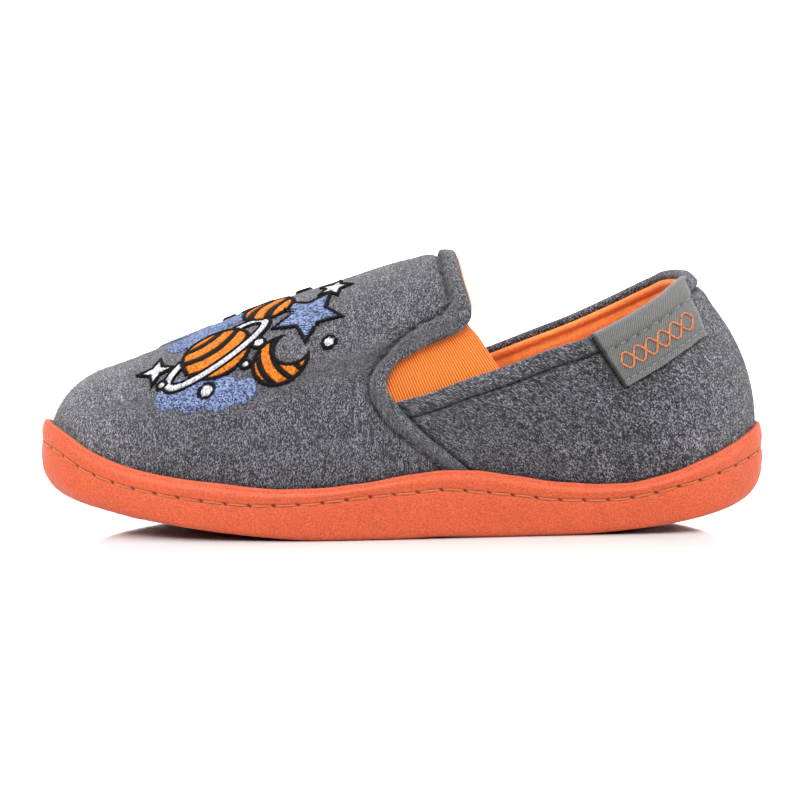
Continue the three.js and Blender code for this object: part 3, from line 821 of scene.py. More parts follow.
H = (1 - (1 - np.linspace(0, 1, ROWS_Q)) ** 1.35)[:, None]
quarter = quarter_points(S[None, :], H, collar_in, lambda x: rim(share(x)) - 4)
normal_q = grid_normals(quarter)
normal_q *= np.sign(normal_q[60, COLS_Q // 2, 0])
collar_line = quarter[-1]
n_c, out_c = normal_q[-1], outward(collar_line, normal_q[-1], quarter[-6])
to_collar = line_distance(quarter, collar_line)

# Label folded over the outer side of the collar
LABEL_FRONT, LABEL_BACK = 0.753, 0.885
LABEL_DROP, LABEL_TUCK = 14.4, 6.5
near_side = S < -0.001
line_x = collar_line[near_side][:, 0]
order = np.argsort(line_x)


def on_collar(values, x_):
    v = values[near_side][order]
    return np.stack([np.interp(x_, line_x[order], v[:, k]) for k in range(3)], -1)


U = np.linspace(0, 1, 70)
label_x = (LABEL_FRONT - 0.5 + (LABEL_BACK - LABEL_FRONT) * U) * OUTSOLE_LENGTH
edge_u, n_u, out_u = on_collar(collar_line, label_x), unit(on_collar(n_c, label_x)), unit(on_collar(out_c, label_x))
tug_u = edge_u[:, 2] - z_at(collar_in, label_x)


def under_label(d, rake_):
    """Points of the quarter a distance below the collar's edge, and the way out of the shoe there."""
    sag = d - tug_u * max(1 - d / LABEL_DROP, 0)
    spot_x, spot_z = label_x + rake_ * d * 0.93, z_at(collar_in, label_x) - sag
    at_ = by_height(spot_x, spot_z, -1.0)
    out_ = unit(np.cross(by_height(spot_x + 0.2, spot_z, -1.0) - at_, by_height(spot_x, spot_z - 0.2, -1.0) - at_))
    return at_, out_ * np.sign(-out_[:, 1])[:, None]


label_rows = []
for d in np.linspace(LABEL_TUCK, 0.5, 10):
    p, nrm = under_label(d, 0.2)
    label_rows.append(p - nrm * (WALL + 0.3 + 0.95 * smooth(0.5, 2.4, d)))
for k in range(0, 11):
    turn = math.pi * (1 - k / 10)
    label_rows.append(edge_u + n_u * (-0.55 + (1.75 + 0.15) * math.cos(turn)) + out_u * (ROLL + 0.1) * math.sin(turn))
rake = 0.66 + (0.47 - 0.66) * U
label_foot = [edge_u]
for d in np.linspace(0.4, LABEL_DROP, 44):
    p, nrm = under_label(d, rake)
    lift = 1.35 - 0.75 * smooth(2.5, 6.5, d) + 0.25 * math.exp(-(((d - 8.5) / 2.5) ** 2))
    lift = lift - 0.35 * math.exp(-(((d - 4.4) / 0.7) ** 2)) - 0.3 * math.exp(-(((d - 12.9) / 0.6) ** 2))
    lift = lift + 0.3 * (1 - smooth(0.0, 0.06, U)) * smooth(3, 9, d) + 0.12 * wave(U * 28, 51, 14, 5) * smooth(4, 14, d)
    lift = lift - 0.6 * smooth(0.955, 1.0, U)
    label_rows.append(p + nrm * lift[:, None])
    label_foot.append(p)
label_mid = np.stack(label_rows)
label_foot = np.stack(label_foot)
label_n = grid_normals(label_mid)
label_n *= np.sign(-label_n[-10, 30, 1])

way_q = np.cumsum(np.linalg.norm(np.diff(quarter, axis=1, prepend=quarter[:, :1]), axis=-1), axis=1)
way_q = way_q - way_q[:, COLS_Q // 2][:, None]
up_q = np.cumsum(np.linalg.norm(np.diff(quarter, axis=0, prepend=quarter[:1]), axis=-1), axis=0)
pucker_q = wave(way_q, 8, 9.0, 3.0)
from_hem = to_collar - (COLLAR_HEM - ROLL)
under = smooth(0.6, -0.6, quarter[..., 0] - x_at(vamp_edge, quarter[..., 2]))
under = np.where(quarter[..., 2] > corner[1] + 1, 0, under)
height_q = 0.8 * smooth(0.6, -0.9, from_hem)
height_q = height_q + 0.3 * np.where(from_hem < 0, np.sin(np.pi * np.clip(to_collar / (COLLAR_HEM - ROLL), 0, 1)), 0)
height_q = height_q - (0.95 + 0.2 * pucker_q) * np.exp(-((from_hem / 0.55) ** 2))
height_q = height_q + 0.35 * np.where(from_hem > 0, np.exp(-(((from_hem - 3.0) / 2.2) ** 2)), 0)
height_q = height_q + 0.08 * pucker_q * np.exp(-((from_hem / 4.0) ** 2))
above_q = quarter[..., 2] - rim(share(quarter[..., 0]))
height_q = height_q + 0.16 * wave(way_q, 15, 12, 4) * np.exp(-np.maximum(above_q, 0) / 8.0)
crease = np.exp(-((line_distance(quarter, label_foot[:, 0] - (0.3, 0, 0)) / 0.7) ** 2))
crease_back = np.exp(-((line_distance(quarter, label_foot[:, -1]) / 0.6) ** 2))
crease_low = np.exp(-((line_distance(quarter, label_foot[-1, :62]) / 0.5) ** 2))
height_q = height_q - 0.7 * crease - 0.2 * crease_low - 0.2 * crease_back
height_q = height_q * (1 - under) - 0.95 * under
quarter_out = quarter + normal_q * height_q[..., None]
rows_q = rolled(collar_line, n_c, out_c, height_q[-1], np.full(COLS_Q, -WALL), np.full(COLS_Q, ROLL), 10)
for m, back_off in ((0.7, 0.0), (1.4, 0.15), (2.4, 0.9)):
    rows_q.append(collar_line - n_c * (WALL - back_off) - out_c * m)
quarter_all = np.vstack([quarter_out, np.stack(rows_q)])
tail = np.cumsum(np.linalg.norm(np.diff(np.stack([quarter_out[-1]] + rows_q), axis=0), axis=-1), axis=0) + up_q[-1]
up_all = np.vstack([up_q, tail])
way_all = np.vstack([way_q, np.repeat(way_q[-1:], len(rows_q), axis=0)])
TURN = math.radians(22)
cloth_q = np.stack(
    [way_all * math.cos(TURN) + up_all * math.sin(TURN), up_all * math.cos(TURN) - way_all * math.sin(TURN)], -1
)
beside = np.abs(quarter[..., 0] - x_at(vamp_edge, quarter[..., 2]) - 0.6)
beside = np.where(quarter[..., 2] > corner[1] + 3, 99, beside)
# Painted shade on the quarter: darker in the hem's groove, above the sole's rim, beside the vamp's edge and along the
# label's edges
shade_q = 1 - 0.65 * np.exp(-((from_hem / 0.5) ** 2)) - 0.5 * np.exp(-np.maximum(above_q, 0) / 0.7)
shade_q = shade_q - 0.6 * np.exp(-((beside / 0.8) ** 2)) - 1.0 * crease - 0.45 * crease_low - 0.5 * crease_back
shade_q = np.maximum(shade_q, 0.06) * (1 + 0.36 * smooth(60, 86, quarter[..., 0]))  # painted highlight: the jersey is made paler over the heel
shade_q = np.vstack([shade_q, np.ones((len(rows_q), COLS_Q))])
quarter_piece = mesh_object(
    "quarter", quarter_all.reshape(-1, 3), grid_faces(len(quarter_all), COLS_Q), [SHADED_GREY],
    uv=cloth_q.reshape(-1, 2), marks={"shade": shade_q.ravel()},
)
place(quarter_piece, "jersey", "upper")

# Linings
rows_k = np.r_[np.arange(0, ROWS_Q - 12, 6)]
deep = quarter_points(S[None, ::4], np.linspace(0, 1, 60)[:, None], moved(collar_edge, -1.5), lambda x: base(x) + 1)
normal_d = grid_normals(deep)
normal_d *= np.sign(normal_d[30, deep.shape[1] // 2, 0])
to_top = line_distance(deep, deep[-1])
sink = WALL + 0.55 + 0.35 * np.exp(-(((to_top - 1.0) / 1.2) ** 2)) - 0.75 * np.exp(-(((to_top - 2.6) / 0.6) ** 2))
sink = sink + 0.3 * np.exp(-(((to_top - 4.6) / 1.4) ** 2)) - 0.5 * np.exp(-((to_top / 0.5) ** 2))
deep_in = deep - normal_d * sink[..., None]
top_out = deep[-1] - normal_d[-1] * (WALL - 0.5)
lining_q = np.vstack([deep_in, top_out[None]])
for name, p in (("lining_front", lining_v), ("lining_back", lining_q)):
    r, c = p.shape[:2]
    piece = mesh_object(name, p.reshape(-1, 3), grid_faces(r, c, flip=True), [ORANGE_FLEECE])
    place(piece, "lining", "upper")

# Gores


def resample(line, count):
    way = np.r_[0, np.cumsum(np.linalg.norm(np.diff(line, axis=0), axis=1))]
    t_ = np.linspace(0, way[-1], count)
    return np.stack([np.interp(t_, way, line[:, k]) for k in range(line.shape[1])], 1)


def gore(side, name):
    """Rows run from under the vamp's hem to the free edge, so the ribs follow that edge."""
    n, m = 100, 90
    hidden = moved(vamp_edge, -4)[7 * 8:12 * 8][::-1]
    hidden = resample(np.vstack([[(-10.8, 31.5)], hidden, [(13.0, 62.3)]]), m)[:, None]
    free = resample(gore_edge[::-1], m)[:, None]
    u = np.linspace(0, 1, n)[None, :, None]
    patch = hidden * (1 - u) + free * u
    p = by_height(patch[..., 0], patch[..., 1], side)
    nrm = grid_normals(p)
    nrm *= np.sign(nrm[45, 50, 1]) * side
    way = np.cumsum(np.linalg.norm(np.diff(p, axis=1, prepend=p[:, :1]), axis=-1), axis=1)
    from_free = way[:, -1:] - way
    rise = np.cumsum(np.linalg.norm(np.diff(p, axis=0, prepend=p[:1]), axis=-1), axis=0)
    dip = 0.45 * np.exp(-from_free / 9.0) * np.sin(np.pi * np.linspace(0, 1, m))[:, None]
    bulge = 0.25 * wave(rise + 0 * from_free, 61, 14, 6) * np.exp(-from_free / 6.0)
    sink = WALL + 0.2 + dip - bulge + 0.25 * np.exp(-((from_free / 0.35) ** 2))
    tucked = smooth(0.8, 2.4, z_at(collar_edge, p[..., 0]) - p[..., 2])
    tucked = tucked * smooth(-0.5, 1.5, p[..., 0] - x_at(vamp_edge, p[..., 2]))
    sink = sink * (1 - tucked) + 1.3 * tucked
    outer = p - nrm * sink[..., None]
    back = p - nrm * (sink + 1.1 - 0.7 * tucked)[..., None]
    both = np.concatenate([outer, back[:, ::-1]], 1)
    uv = np.stack([np.concatenate([from_free, from_free[:, ::-1]], 1), np.concatenate([rise, rise], 1)], -1)
    obj = mesh_object(
        name, both.reshape(-1, 3), grid_faces(m, 2 * n, flip=side < 0), [ORANGE_ELASTIC], uv=uv.reshape(-1, 2)
    )
    place(obj, "elastic", "gore_outer" if side < 0 else "gore_inner")


gore(-1.0, "gore_outer_elastic")
gore(1.0, "gore_inner_elastic")

# Sole
COLS_S = 1400


def sole_ring(inset, z_of, count=COLS_S):
    """One ring of the sole, from the toe along the outer side to the heel and back along the inner side."""
    t = 2 * np.pi * np.arange(count) / count
    at_ = (1 - np.cos(t)) / 2
    side = np.where(t <= np.pi, -1.0, 1.0)
    gap = inset(at_)
    x = (2 * at_ - 1) * (HALF - gap)
    y = middle(at_) + side * (half_width(at_) - gap) * tips(at_)
    return np.stack([x, y, z_of(at_)], 1)


def even_ring(count):
    """Shares and sides that space a ring's points evenly along the outline."""
    fine = 6000
    ring = sole_ring(lambda a: 0 * a, lambda a: rim(a), fine)
    way = np.r_[0, np.cumsum(np.linalg.norm(np.diff(np.vstack([ring, ring[:1]]), axis=0), axis=1))]
    t = np.interp(np.linspace(0, way[-1], count, endpoint=False), way, np.linspace(0, 2 * np.pi, fine + 1))
    return (1 - np.cos(t)) / 2, np.where(t <= np.pi, -1.0, 1.0), way[-1]


sole_at, sole_side, ROUND = even_ring(COLS_S)
PITCH = ROUND / round(ROUND / 6.75)
sole_way = np.arange(COLS_S) * ROUND / COLS_S
tip = 1 - tips(sole_at)
radius = 2.2 + (EDGE_RADIUS_TIP - 2.2) * tip
rim_z = rim(sole_at)
groove_z = rim_z - INSTEP_HEIGHT * column(RIM, 2, sole_at)
under_z = underside(sole_at)
lean_in = 0.25 + 0.35 * (1 - tip)


def profile():
    """Rows of the sole's side as inset and height, from the underside's edge up and over the rim."""
    rows_ = []
    for k in range(13):
        a = math.pi / 2 * k / 12
        rows_.append((radius * (1 - math.sin(a)) ** 1.0, under_z + radius * (1 - math.cos(a))))
    start = under_z + radius
    end = groove_z - 1.3
    for k in range(1, 12):
        f = k / 12
        rows_.append((-0.12 * math.sin(math.pi * f) + 0 * tip, start + (end - start) * f))
    for d, inset_ in ((-1.3, 0.0), (-1.0, 0.02), (-0.7, 0.08), (-0.45, 0.2), (-0.22, 0.34), (0.0, 0.4), (0.22, 0.34),
                      (0.45, 0.2), (0.7, 0.08), (1.05, 0.03), (1.4, 0.0)):
        rows_.append((inset_ + 0.12 * smooth(-0.2, 1.4, d) + 0 * tip, groove_z + d))
    start = groove_z + 1.4
    end = rim_z - 1.2
    for k in range(1, 9):
        f = k / 9
        swell = -0.2 * math.sin(math.pi * f)
        rows_.append((0.12 + swell + lean_in * f * f, start + (end - start) * f))
    for d, inset_ in ((-1.2, 0.0), (-0.85, 0.07), (-0.5, 0.22), (-0.22, 0.46), (-0.05, 0.8), (0.0, 1.15), (-0.03, 1.5),
                      (-0.16, 1.85), (-0.42, 2.12), (-0.9, 2.28), (-1.8, 2.34), (-3.5, 2.34)):
        rows_.append((0.12 + lean_in + inset_ * (2.3 - lean_in) / 2.34, rim_z + d))
    return rows_


def sole_point(inset_, z):
    x = (2 * sole_at - 1) * (HALF - inset_)
    y = middle(sole_at) + sole_side * (half_width(sole_at) - inset_) * tips(sole_at)
    return np.stack([x, y, z], 1)


side_rows = np.stack([sole_point(i + 0 * tip, z) for i, z in profile()])
normal_s = unit(np.cross(np.roll(side_rows, -1, 1) - np.roll(side_rows, 1, 1), np.gradient(side_rows, axis=0)))
normal_s *= np.sign(normal_s[20, COLS_S // 4, 1]) * -1.0
# Stitch holes, and a soft unevenness of the moulding
hole_way = (np.arange(round(ROUND / PITCH)) + 0.35) * PITCH
near = (sole_way[:, None] - hole_way[None, :] + PITCH / 2) % ROUND - PITCH / 2
near = near[np.arange(COLS_S), np.abs(near).argmin(1)][None, :]
off = side_rows[..., 2] - groove_z[None, :]
hole = np.exp(-((near / 0.5) ** 2) - ((off + 0.45 * near) / 0.2) ** 2)
pull = np.exp(-((near / 1.2) ** 2) - ((off - 0.2) / 0.9) ** 2)
uneven = 0.09 * wave(sole_way, 21, 30, 8)[None, :] * smooth(0, 3, side_rows[..., 2] - under_z[None, :])
band = smooth(0.8, 2.0, off) * smooth(-0.4, -1.4, side_rows[..., 2] - rim_z[None, :])
gathers = 0.02 * wave(sole_way, 33, 2.6, 1.1)[None, :] * band
side_rows = side_rows + normal_s * (uneven + gathers - 0.5 * hole - 0.14 * pull)[..., None]
share_up = (side_rows[..., 2] - groove_z[None, :]) / (rim_z - groove_z)[None, :]
# Painted shade on the sole's side: dark in the stitch holes, along the stitch groove and just under the rim's top
shade_s = 1 - 0.88 * np.minimum(hole * 1.4, 1) - 0.14 * np.exp(-((off / 0.45) ** 2))
shade_s = shade_s - 0.12 * smooth(0.8, 0.93, share_up)
sole = mesh_object(
    "sole", side_rows.reshape(-1, 3), grid_faces(len(side_rows), COLS_S, closed=True), [CORAL],
    marks={"shade": shade_s.ravel()},
)
place(sole, "rubber", "outsole")

# Underside with a guessed tread of wavy grooves, a little fuller under the raised toe and heel
at_u, side_u, radius_u, under_u = sole_at[::2], sole_side[::2], radius[::2], under_z[::2]
f = np.linspace(0, 1, 46)[:, None]
x = (2 * at_u - 1) * (HALF - radius_u) + 0 * f
wide = (half_width(at_u) - radius_u) * tips(at_u)
y = middle(at_u) + side_u * wide * f
ring = np.stack([x[-1], y[-1], 0 * y[-1]], -1)[::2]
from_edge = np.stack([line_distance(np.stack([x[k], y[k], 0 * y[k]], -1)[None], ring)[0] for k in range(46)])
groove = smooth(0.33, 0.4, np.abs((x + 2.4 * np.sin(2 * np.pi * y / 21)) / 8.0 % 1 - 0.5)) * smooth(5.0, 5.9, from_edge)
border = np.exp(-(((from_edge - 3.8) / 0.7) ** 2))
z = under_u - np.minimum(0.42 * np.maximum(under_u - 0.3, 0), 2.6) * smooth(0, 14, from_edge) + 0.9 * np.maximum(groove, border)
# Painted shade in the underside's tread grooves and along its border groove
sole_bottom = mesh_object(
    "sole_bottom", np.stack([x, y, z], -1).reshape(-1, 3), grid_faces(46, len(at_u), closed=True), [CORAL],
    marks={"shade": (1 - 0.25 * np.maximum(groove, border)).ravel()},
)
place(sole_bottom, "rubber")

# Thread in the sole's groove: a long bowed stitch from each hole to the next
t = np.linspace(0, 1, 15)
bow = np.sin(np.pi * t) ** 0.5
paths = []
for start in hole_way:
    way = start + 0.35 + (PITCH - 0.7) * t
    col = (way / ROUND * COLS_S) % COLS_S
    i0 = np.floor(col).astype(int) % COLS_S
    f = (col - np.floor(col))[:, None]
    groove_row = 13 + 11 + 5
    line = side_rows[groove_row][i0] * (1 - f) + side_rows[groove_row][(i0 + 1) % COLS_S] * f
    nrm = normal_s[groove_row][i0]
    wobble = rng.uniform(-0.12, 0.12)
    line = line + nrm * (0.28 * bow - 0.35 * (1 - bow))[:, None]
    line[:, 2] += wobble * np.sin(np.pi * t) + rng.uniform(-0.1, 0.1) * (t - 0.5)
    paths.append(line)
points, faces, uv = tubes(paths, 0.23)
place(mesh_object("sole_stitches", points, faces, [ORANGE_THREAD], uv=uv), "rubber")

# Insole: a padded footbed, crowned in the middle and rounded at its edge
ins_at = (1 - np.cos(np.pi * np.linspace(0.004, 0.996, 150))) / 2
f = np.linspace(-1, 1, 70)
grid_at = ins_at[:, None] + 0 * f
x = -HALF + TOE_LIP + WALL + 0.8 + (OUTSOLE_LENGTH - TOE_LIP - HEEL_LIP - 2 * WALL - 1.6) * grid_at
wide = (half_width(grid_at) - SIDE_LIP - WALL - 0.8) * tips(grid_at)
y = middle(grid_at) + wide * np.sin(np.pi / 2 * f)[None, :]
edge_drop = closing(wide * (1 - np.abs(np.sin(np.pi / 2 * f)))[None, :] + 0.01, 5.0)
end_drop = closing(np.minimum(ins_at, 1 - ins_at)[:, None] * 190 + 0.01, 6.0)
low = base(x) + GAP
crown = 4.6 * edge_drop * end_drop - 0.5 * smooth(0.62, 0.8, grid_at) * edge_drop + 0.12 * wave(x, 41, 30, 9) * edge_drop
top = np.stack([x, y, low + crown], -1)
bottom = np.stack([x, y, low + 0 * x + 0.05], -1)
both = np.concatenate([top, bottom[:, ::-1]], 1)
insole = mesh_object("insole_pad", both.reshape(-1, 3), grid_faces(150, 140, closed=True, flip=True), [ORANGE_FLEECE])
place(insole, "lining", "insole")

# Label
thick = 0.24
front = label_mid + label_n * thick
behind = label_mid - label_n * thick
both = np.concatenate([front, behind[:, ::-1]], 1)
drop = np.cumsum(np.linalg.norm(np.diff(both, axis=0, prepend=both[:1]), axis=-1), axis=0)
wide = np.cumsum(np.linalg.norm(np.diff(both, axis=1, prepend=both[:, :1]), axis=-1), axis=1)
depth_l = np.r_[np.full(21, 0.0), np.linspace(0.4, LABEL_DROP, 44)][:, None]
# Painted shade on the label: dark dashes at the top seam's stitch holes, a faint line at the lower seam, and a dark
# line along the left edge, front and back
label_line = (1 - smooth(0.015, 0.04, U))[None, :]
dash = smooth(0.2, 0.9, np.sin(U * 2 * np.pi * 8.3 + 0.6))[None, :]
label_shade = 1 - 0.7 * dash * np.exp(-(((depth_l - 4.4 - 0.25 * (dash - 0.5)) / 0.38) ** 2))
label_shade = label_shade - 0.22 * np.exp(-(((depth_l - 12.9) / 0.3) ** 2)) - 0.92 * label_line
label_shade = np.concatenate([label_shade, (1 - 0.92 * label_line[:, ::-1]) + 0 * label_shade], 1)
label = mesh_object(
    "side_label", both.reshape(-1, 3), grid_faces(len(both), 140, closed=True), [RIBBON],
    uv=np.stack([wide, drop], -1).reshape(-1, 2),
    marks={"shade": label_shade.ravel()},
)
place(label, "ribbon", "label")


def on_label(u, d, lift):
    """Points of the label's outer face. u: 0 to 1 along the collar, d: mm below its edge."""
    row = 21 + (np.asarray(d) - 0.4) / (LABEL_DROP - 0.4) * 43
    col = np.asarray(u) * 69
    i, j = np.clip(np.floor(row).astype(int), 0, len(front) - 2), np.clip(np.floor(col).astype(int), 0, 68)
    a, b = (row - i)[..., None], (col - j)[..., None]
    p = front[i, j] * (1 - a) * (1 - b) + front[i + 1, j] * a * (1 - b) + front[i, j + 1] * (1 - a) * b
    p = p + front[i + 1, j + 1] * a * b
    return p + label_n[i, j] * np.asarray(lift)[..., None]


paths = []
for k in range(8):
    u0 = 0.075 + k * 0.1205
    u = u0 + 0.05 * t
    paths.append(on_label(u, 4.3 + 0 * t, 0.12 * bow - 0.2 * (1 - bow)))
for k in range(12):
    u0 = 0.03 + k * 0.08
    u = u0 + 0.055 * t
    paths.append(on_label(u, 12.9 + 0 * t, 0.1 * bow - 0.2 * (1 - bow)))
for k in range(5):
    d0 = 5.6 + k * 1.9
    paths.append(on_label(0.955 + 0 * t, d0 + 1.2 * t, 0.1 * bow - 0.2 * (1 - bow)))
points, faces, uv = tubes(paths, 0.17)
place(mesh_object("label_seams", points, faces, [PALE_THREAD], uv=uv), "ribbon")
# A plain braid of two waves of orange thread decorates the label
braid = []
for phase in (0.0, math.pi):
    for k in range(24):
        u = 0.1 + (k + t * 1.04) * 0.0335
        swing_ = np.sin((u - 0.1) / 0.134 * math.pi + phase)
        over_ = np.cos((u - 0.1) / 0.134 * math.pi + phase)
        braid.append(on_label(u, 8.7 + 2.1 * swing_, 0.2 + 0.12 * np.sign(over_) * (1 - np.abs(swing_))))
points, faces, uv = tubes(braid, 0.26)
place(mesh_object("label_braid", points, faces, [ORANGE_THREAD], uv=uv), "ribbon")

# Embroidery on the vamp: ringed and striped planets, stars, clouds and dots
A0, A1, B0, B1 = -75.0, -14.0, -44.0, 24.0
NA, NB = 330, 360
ea = np.linspace(A0, A1, NA)
eb = np.linspace(B0, B1, NB)
ring_angles = np.linspace(0.12, np.pi - 0.12, 400)
ring_at = own_share(ea)[:, None] + 0 * ring_angles
ring_points = by_angle(ring_at, ring_angles[None, :] + 0 * ring_at)
ring_way = np.cumsum(np.linalg.norm(np.diff(ring_points, axis=1, prepend=ring_points[:, :1]), axis=-1), axis=1)
ring_way -= ring_way[:, 200][:, None]
patch_angle = np.stack([np.interp(eb, ring_way[i], ring_angles) for i in range(NA)])
patch = by_angle(own_share(ea)[:, None] + 0 * patch_angle, patch_angle)
patch_n = grid_normals(patch)
patch_n *= np.sign(patch_n[150, 155, 2])
PA, PB = np.meshgrid(ea, eb, indexing="ij")
BLUE, ORANGE, BLACK, WHITE = (0.12, 0.155, 0.272), (0.6, 0.155, 0.015), (0.006, 0.006, 0.007), (0.56, 0.54, 0.58)
raised = np.full(PA.shape, -0.4)
tint = np.zeros(PA.shape + (3,))
tint[:] = BLACK
row_m, run_m = PA * 1.0, PB * 1.0
cover = np.full(PA.shape, 9.0)
glitter = np.zeros(PA.shape)


# Uneven thread ends make every edge of a motif slightly ragged
ragged = 0.24 * wave(PA * 0.8 + PB * 0.6, 71, 2.4, 0.9) * wave(PB * 0.8 - PA * 0.6, 72, 2.4, 0.9)


def disc(a, b, r):
    return np.hypot(PA - a, PB - b) - r + ragged


def star(a, b, r, points_=5, turn=0.0, deep=0.46):
    angle = np.arctan2(PB - b, PA - a) + turn
    sector = 2 * np.pi / points_
    fold = np.abs((angle + sector / 2) % sector - sector / 2)
    d = np.hypot(PA - a, PB - b)
    px, py = d * np.cos(fold), d * np.sin(fold)
    x1, y1 = r * deep * math.cos(sector / 2), r * deep * math.sin(sector / 2)
    ex, ey = x1 - r, y1
    return (px - r) * ey / math.hypot(ex, ey) - py * ex / math.hypot(ex, ey) + ragged


def fill(sdf, color, tall=0.55, direction=0.0):
    """Covers a shape with stitches that run along a direction, rounded at its edge."""
    inside = sdf < 0
    dome = tall * np.sqrt(np.clip(-sdf / 1.1, 0, 1))
    raised[inside] = np.maximum(dome, 0.12)[inside]
    tint[inside] = color
    glitter[inside] = 1.0 if color == BLUE else 0.45
    c, s_ = math.cos(direction), math.sin(direction)
    row_m[inside] = (PA * c + PB * s_)[inside]
    run_m[inside] = (PB * c - PA * s_)[inside]
    np.minimum(cover, sdf, out=cover)


def outline(sdf, color, wide_=0.6, tall=0.65, within=None):
    edge = np.abs(sdf) - wide_
    if within is not None:
        edge = np.maximum(edge, within)
    inside = edge < 0
    raised[inside] = (tall * np.sqrt(np.clip(-edge / wide_, 0, 1)) + 0.1)[inside]
    tint[inside] = color
    glitter[inside] = 0.25
    row_m[inside] = (PA + PB)[inside]
    run_m[inside] = (PB - PA)[inside]
    np.minimum(cover, edge, out=cover)


def union(*parts_):
    return np.minimum.reduce(parts_)


def cut(sdf, *others):
    return np.maximum.reduce([sdf] + [-o for o in others])


def hoop(a, b, long_, short, turn):
    """Distance to the edge of a flat ring, roughly even along it."""
    c, s_ = math.cos(turn), math.sin(turn)
    x_ = (PA - a) * c + (PB - b) * s_
    y_ = (PB - b) * c - (PA - a) * s_
    k = np.hypot(x_ / long_, y_ / short)
    slope = np.hypot(x_ / long_**2, y_ / short**2) / np.maximum(k, 1e-6)
    return (k - 1) / np.maximum(slope, 1e-6), y_


def striped(body, a, b, turn, offsets, width, color=BLACK):
    c, s_ = math.cos(turn), math.sin(turn)
    bend = (PA - a) * c + (PB - b) * s_
    cross = (PB - b) * c - (PA - a) * s_
    for offset in offsets:
        stripe = np.maximum(np.abs(bend - offset - 0.04 * cross**2) - width, body + 0.2)
        fill(stripe, color, 0.68, direction=turn + 1.57)


def spot(a, b, r, color=WHITE):
    dot = disc(a, b, r)
    fill(dot, color, 0.6)
    outline(dot, BLACK, 0.5, 0.8)


cloud = union(disc(-66, -28, 4.6), disc(-59.5, -31, 5.6), disc(-52.5, -34, 5.2), disc(-46.5, -35.5, 3.8))
fill(cloud, BLUE, direction=0.6)
far_cloud = union(disc(-61, -7, 5.0), disc(-54, -4, 6.2), disc(-47, -3, 4.6))
fill(far_cloud, BLUE, direction=-0.5)
spark = star(-69.5, -17, 5.2, 4, 0.3, 0.4)
fill(spark, WHITE, 0.6, direction=0.7)
outline(spark, BLACK, 0.5, 0.75)
ring, ring_side = hoop(-53, -19, 15.0, 5.0, 0.42)
band = np.abs(ring) - 1.3
planet = disc(-53, -19, 9.4)
fill(np.where(ring_side > 0, band, 9), WHITE, 0.6, direction=0.4)
outline(np.where(ring_side > 0, band, 9), BLACK, 0.45, 0.7)
fill(planet, ORANGE, direction=0.5)
striped(planet, -53, -19, 0.42 + 1.57, (-5.4, 0.6, 6.0), 1.15)
outline(planet, BLACK)
fill(np.where(ring_side <= 0, band, 9), WHITE, 0.75, direction=0.4)
outline(np.where(ring_side <= 0, band, 9), BLACK, 0.45, 0.85)
comet = star(-27.5, -16, 10.0, 5, 0.45, 0.5)
fill(comet, BLUE, direction=1.2)
outline(comet, BLACK, 0.55)
moon = cut(disc(-36, -29.5, 7.6), disc(-32.4, -26.4, 5.6))
fill(moon, ORANGE, direction=-0.4)
striped(moon, -36, -29.5, 0.3, (-5.6, -1.6, 2.4), 0.8)
outline(moon, BLACK, 0.6)
ball = disc(-37.5, -5.5, 6.8)
fill(ball, ORANGE, direction=-0.6)
striped(ball, -37.5, -5.5, -0.7, (-3.4, 2.2), 1.3)
outline(ball, BLACK)
for a, b, r in ((-41.5, -21.5, 1.7), (-22.5, -28, 1.8), (-68.5, -23.5, 1.3), (-45.5, -27.5, 1.3)):
    spot(a, b, r)
spot(-56.5, -31.5, 2.1)
small = star(-19.5, -6.5, 4.6, 5, 0.2, 0.5)
fill(small, WHITE, 0.6, direction=0.3)
outline(small, BLACK, 0.5, 0.75)
moon2 = cut(disc(-59, 10, 8.2), disc(-55.6, 13.2, 6.4))
fill(moon2, BLUE, direction=0.9)
rosette = star(-40, 9.5, 6.8, 5, 0.9, 0.5)
fill(rosette, ORANGE, direction=0.2)
outline(rosette, BLACK, 0.55)
for a, b, r in ((-27, 5.5, 1.8), (-49.5, 15.5, 1.7), (-47.5, 4.0, 1.5)):
    spot(a, b, r)
puff = union(disc(-31.5, 16, 4.4), disc(-25.5, 14, 5.2), disc(-20, 12.5, 3.6))
fill(puff, BLUE, direction=0.2)

keep = cover < 0.35
emb_points = patch + patch_n * raised[..., None]
faces = grid_faces(NA, NB)
faces = faces[keep.ravel()[faces].all(1)]
used = np.unique(faces)
renumber = np.full(NA * NB, -1)
renumber[used] = np.arange(len(used))
emb = mesh_object(
    "embroidery", emb_points.reshape(-1, 3)[used], renumber[faces], [STITCHED],
    marks={
        "tint": tint.reshape(-1, 3)[used], "row": row_m.ravel()[used], "run": run_m.ravel()[used],
        "glitter": glitter.ravel()[used],
    },
)
place(emb, "jersey")

# Lint: short fibres that stand off the jersey


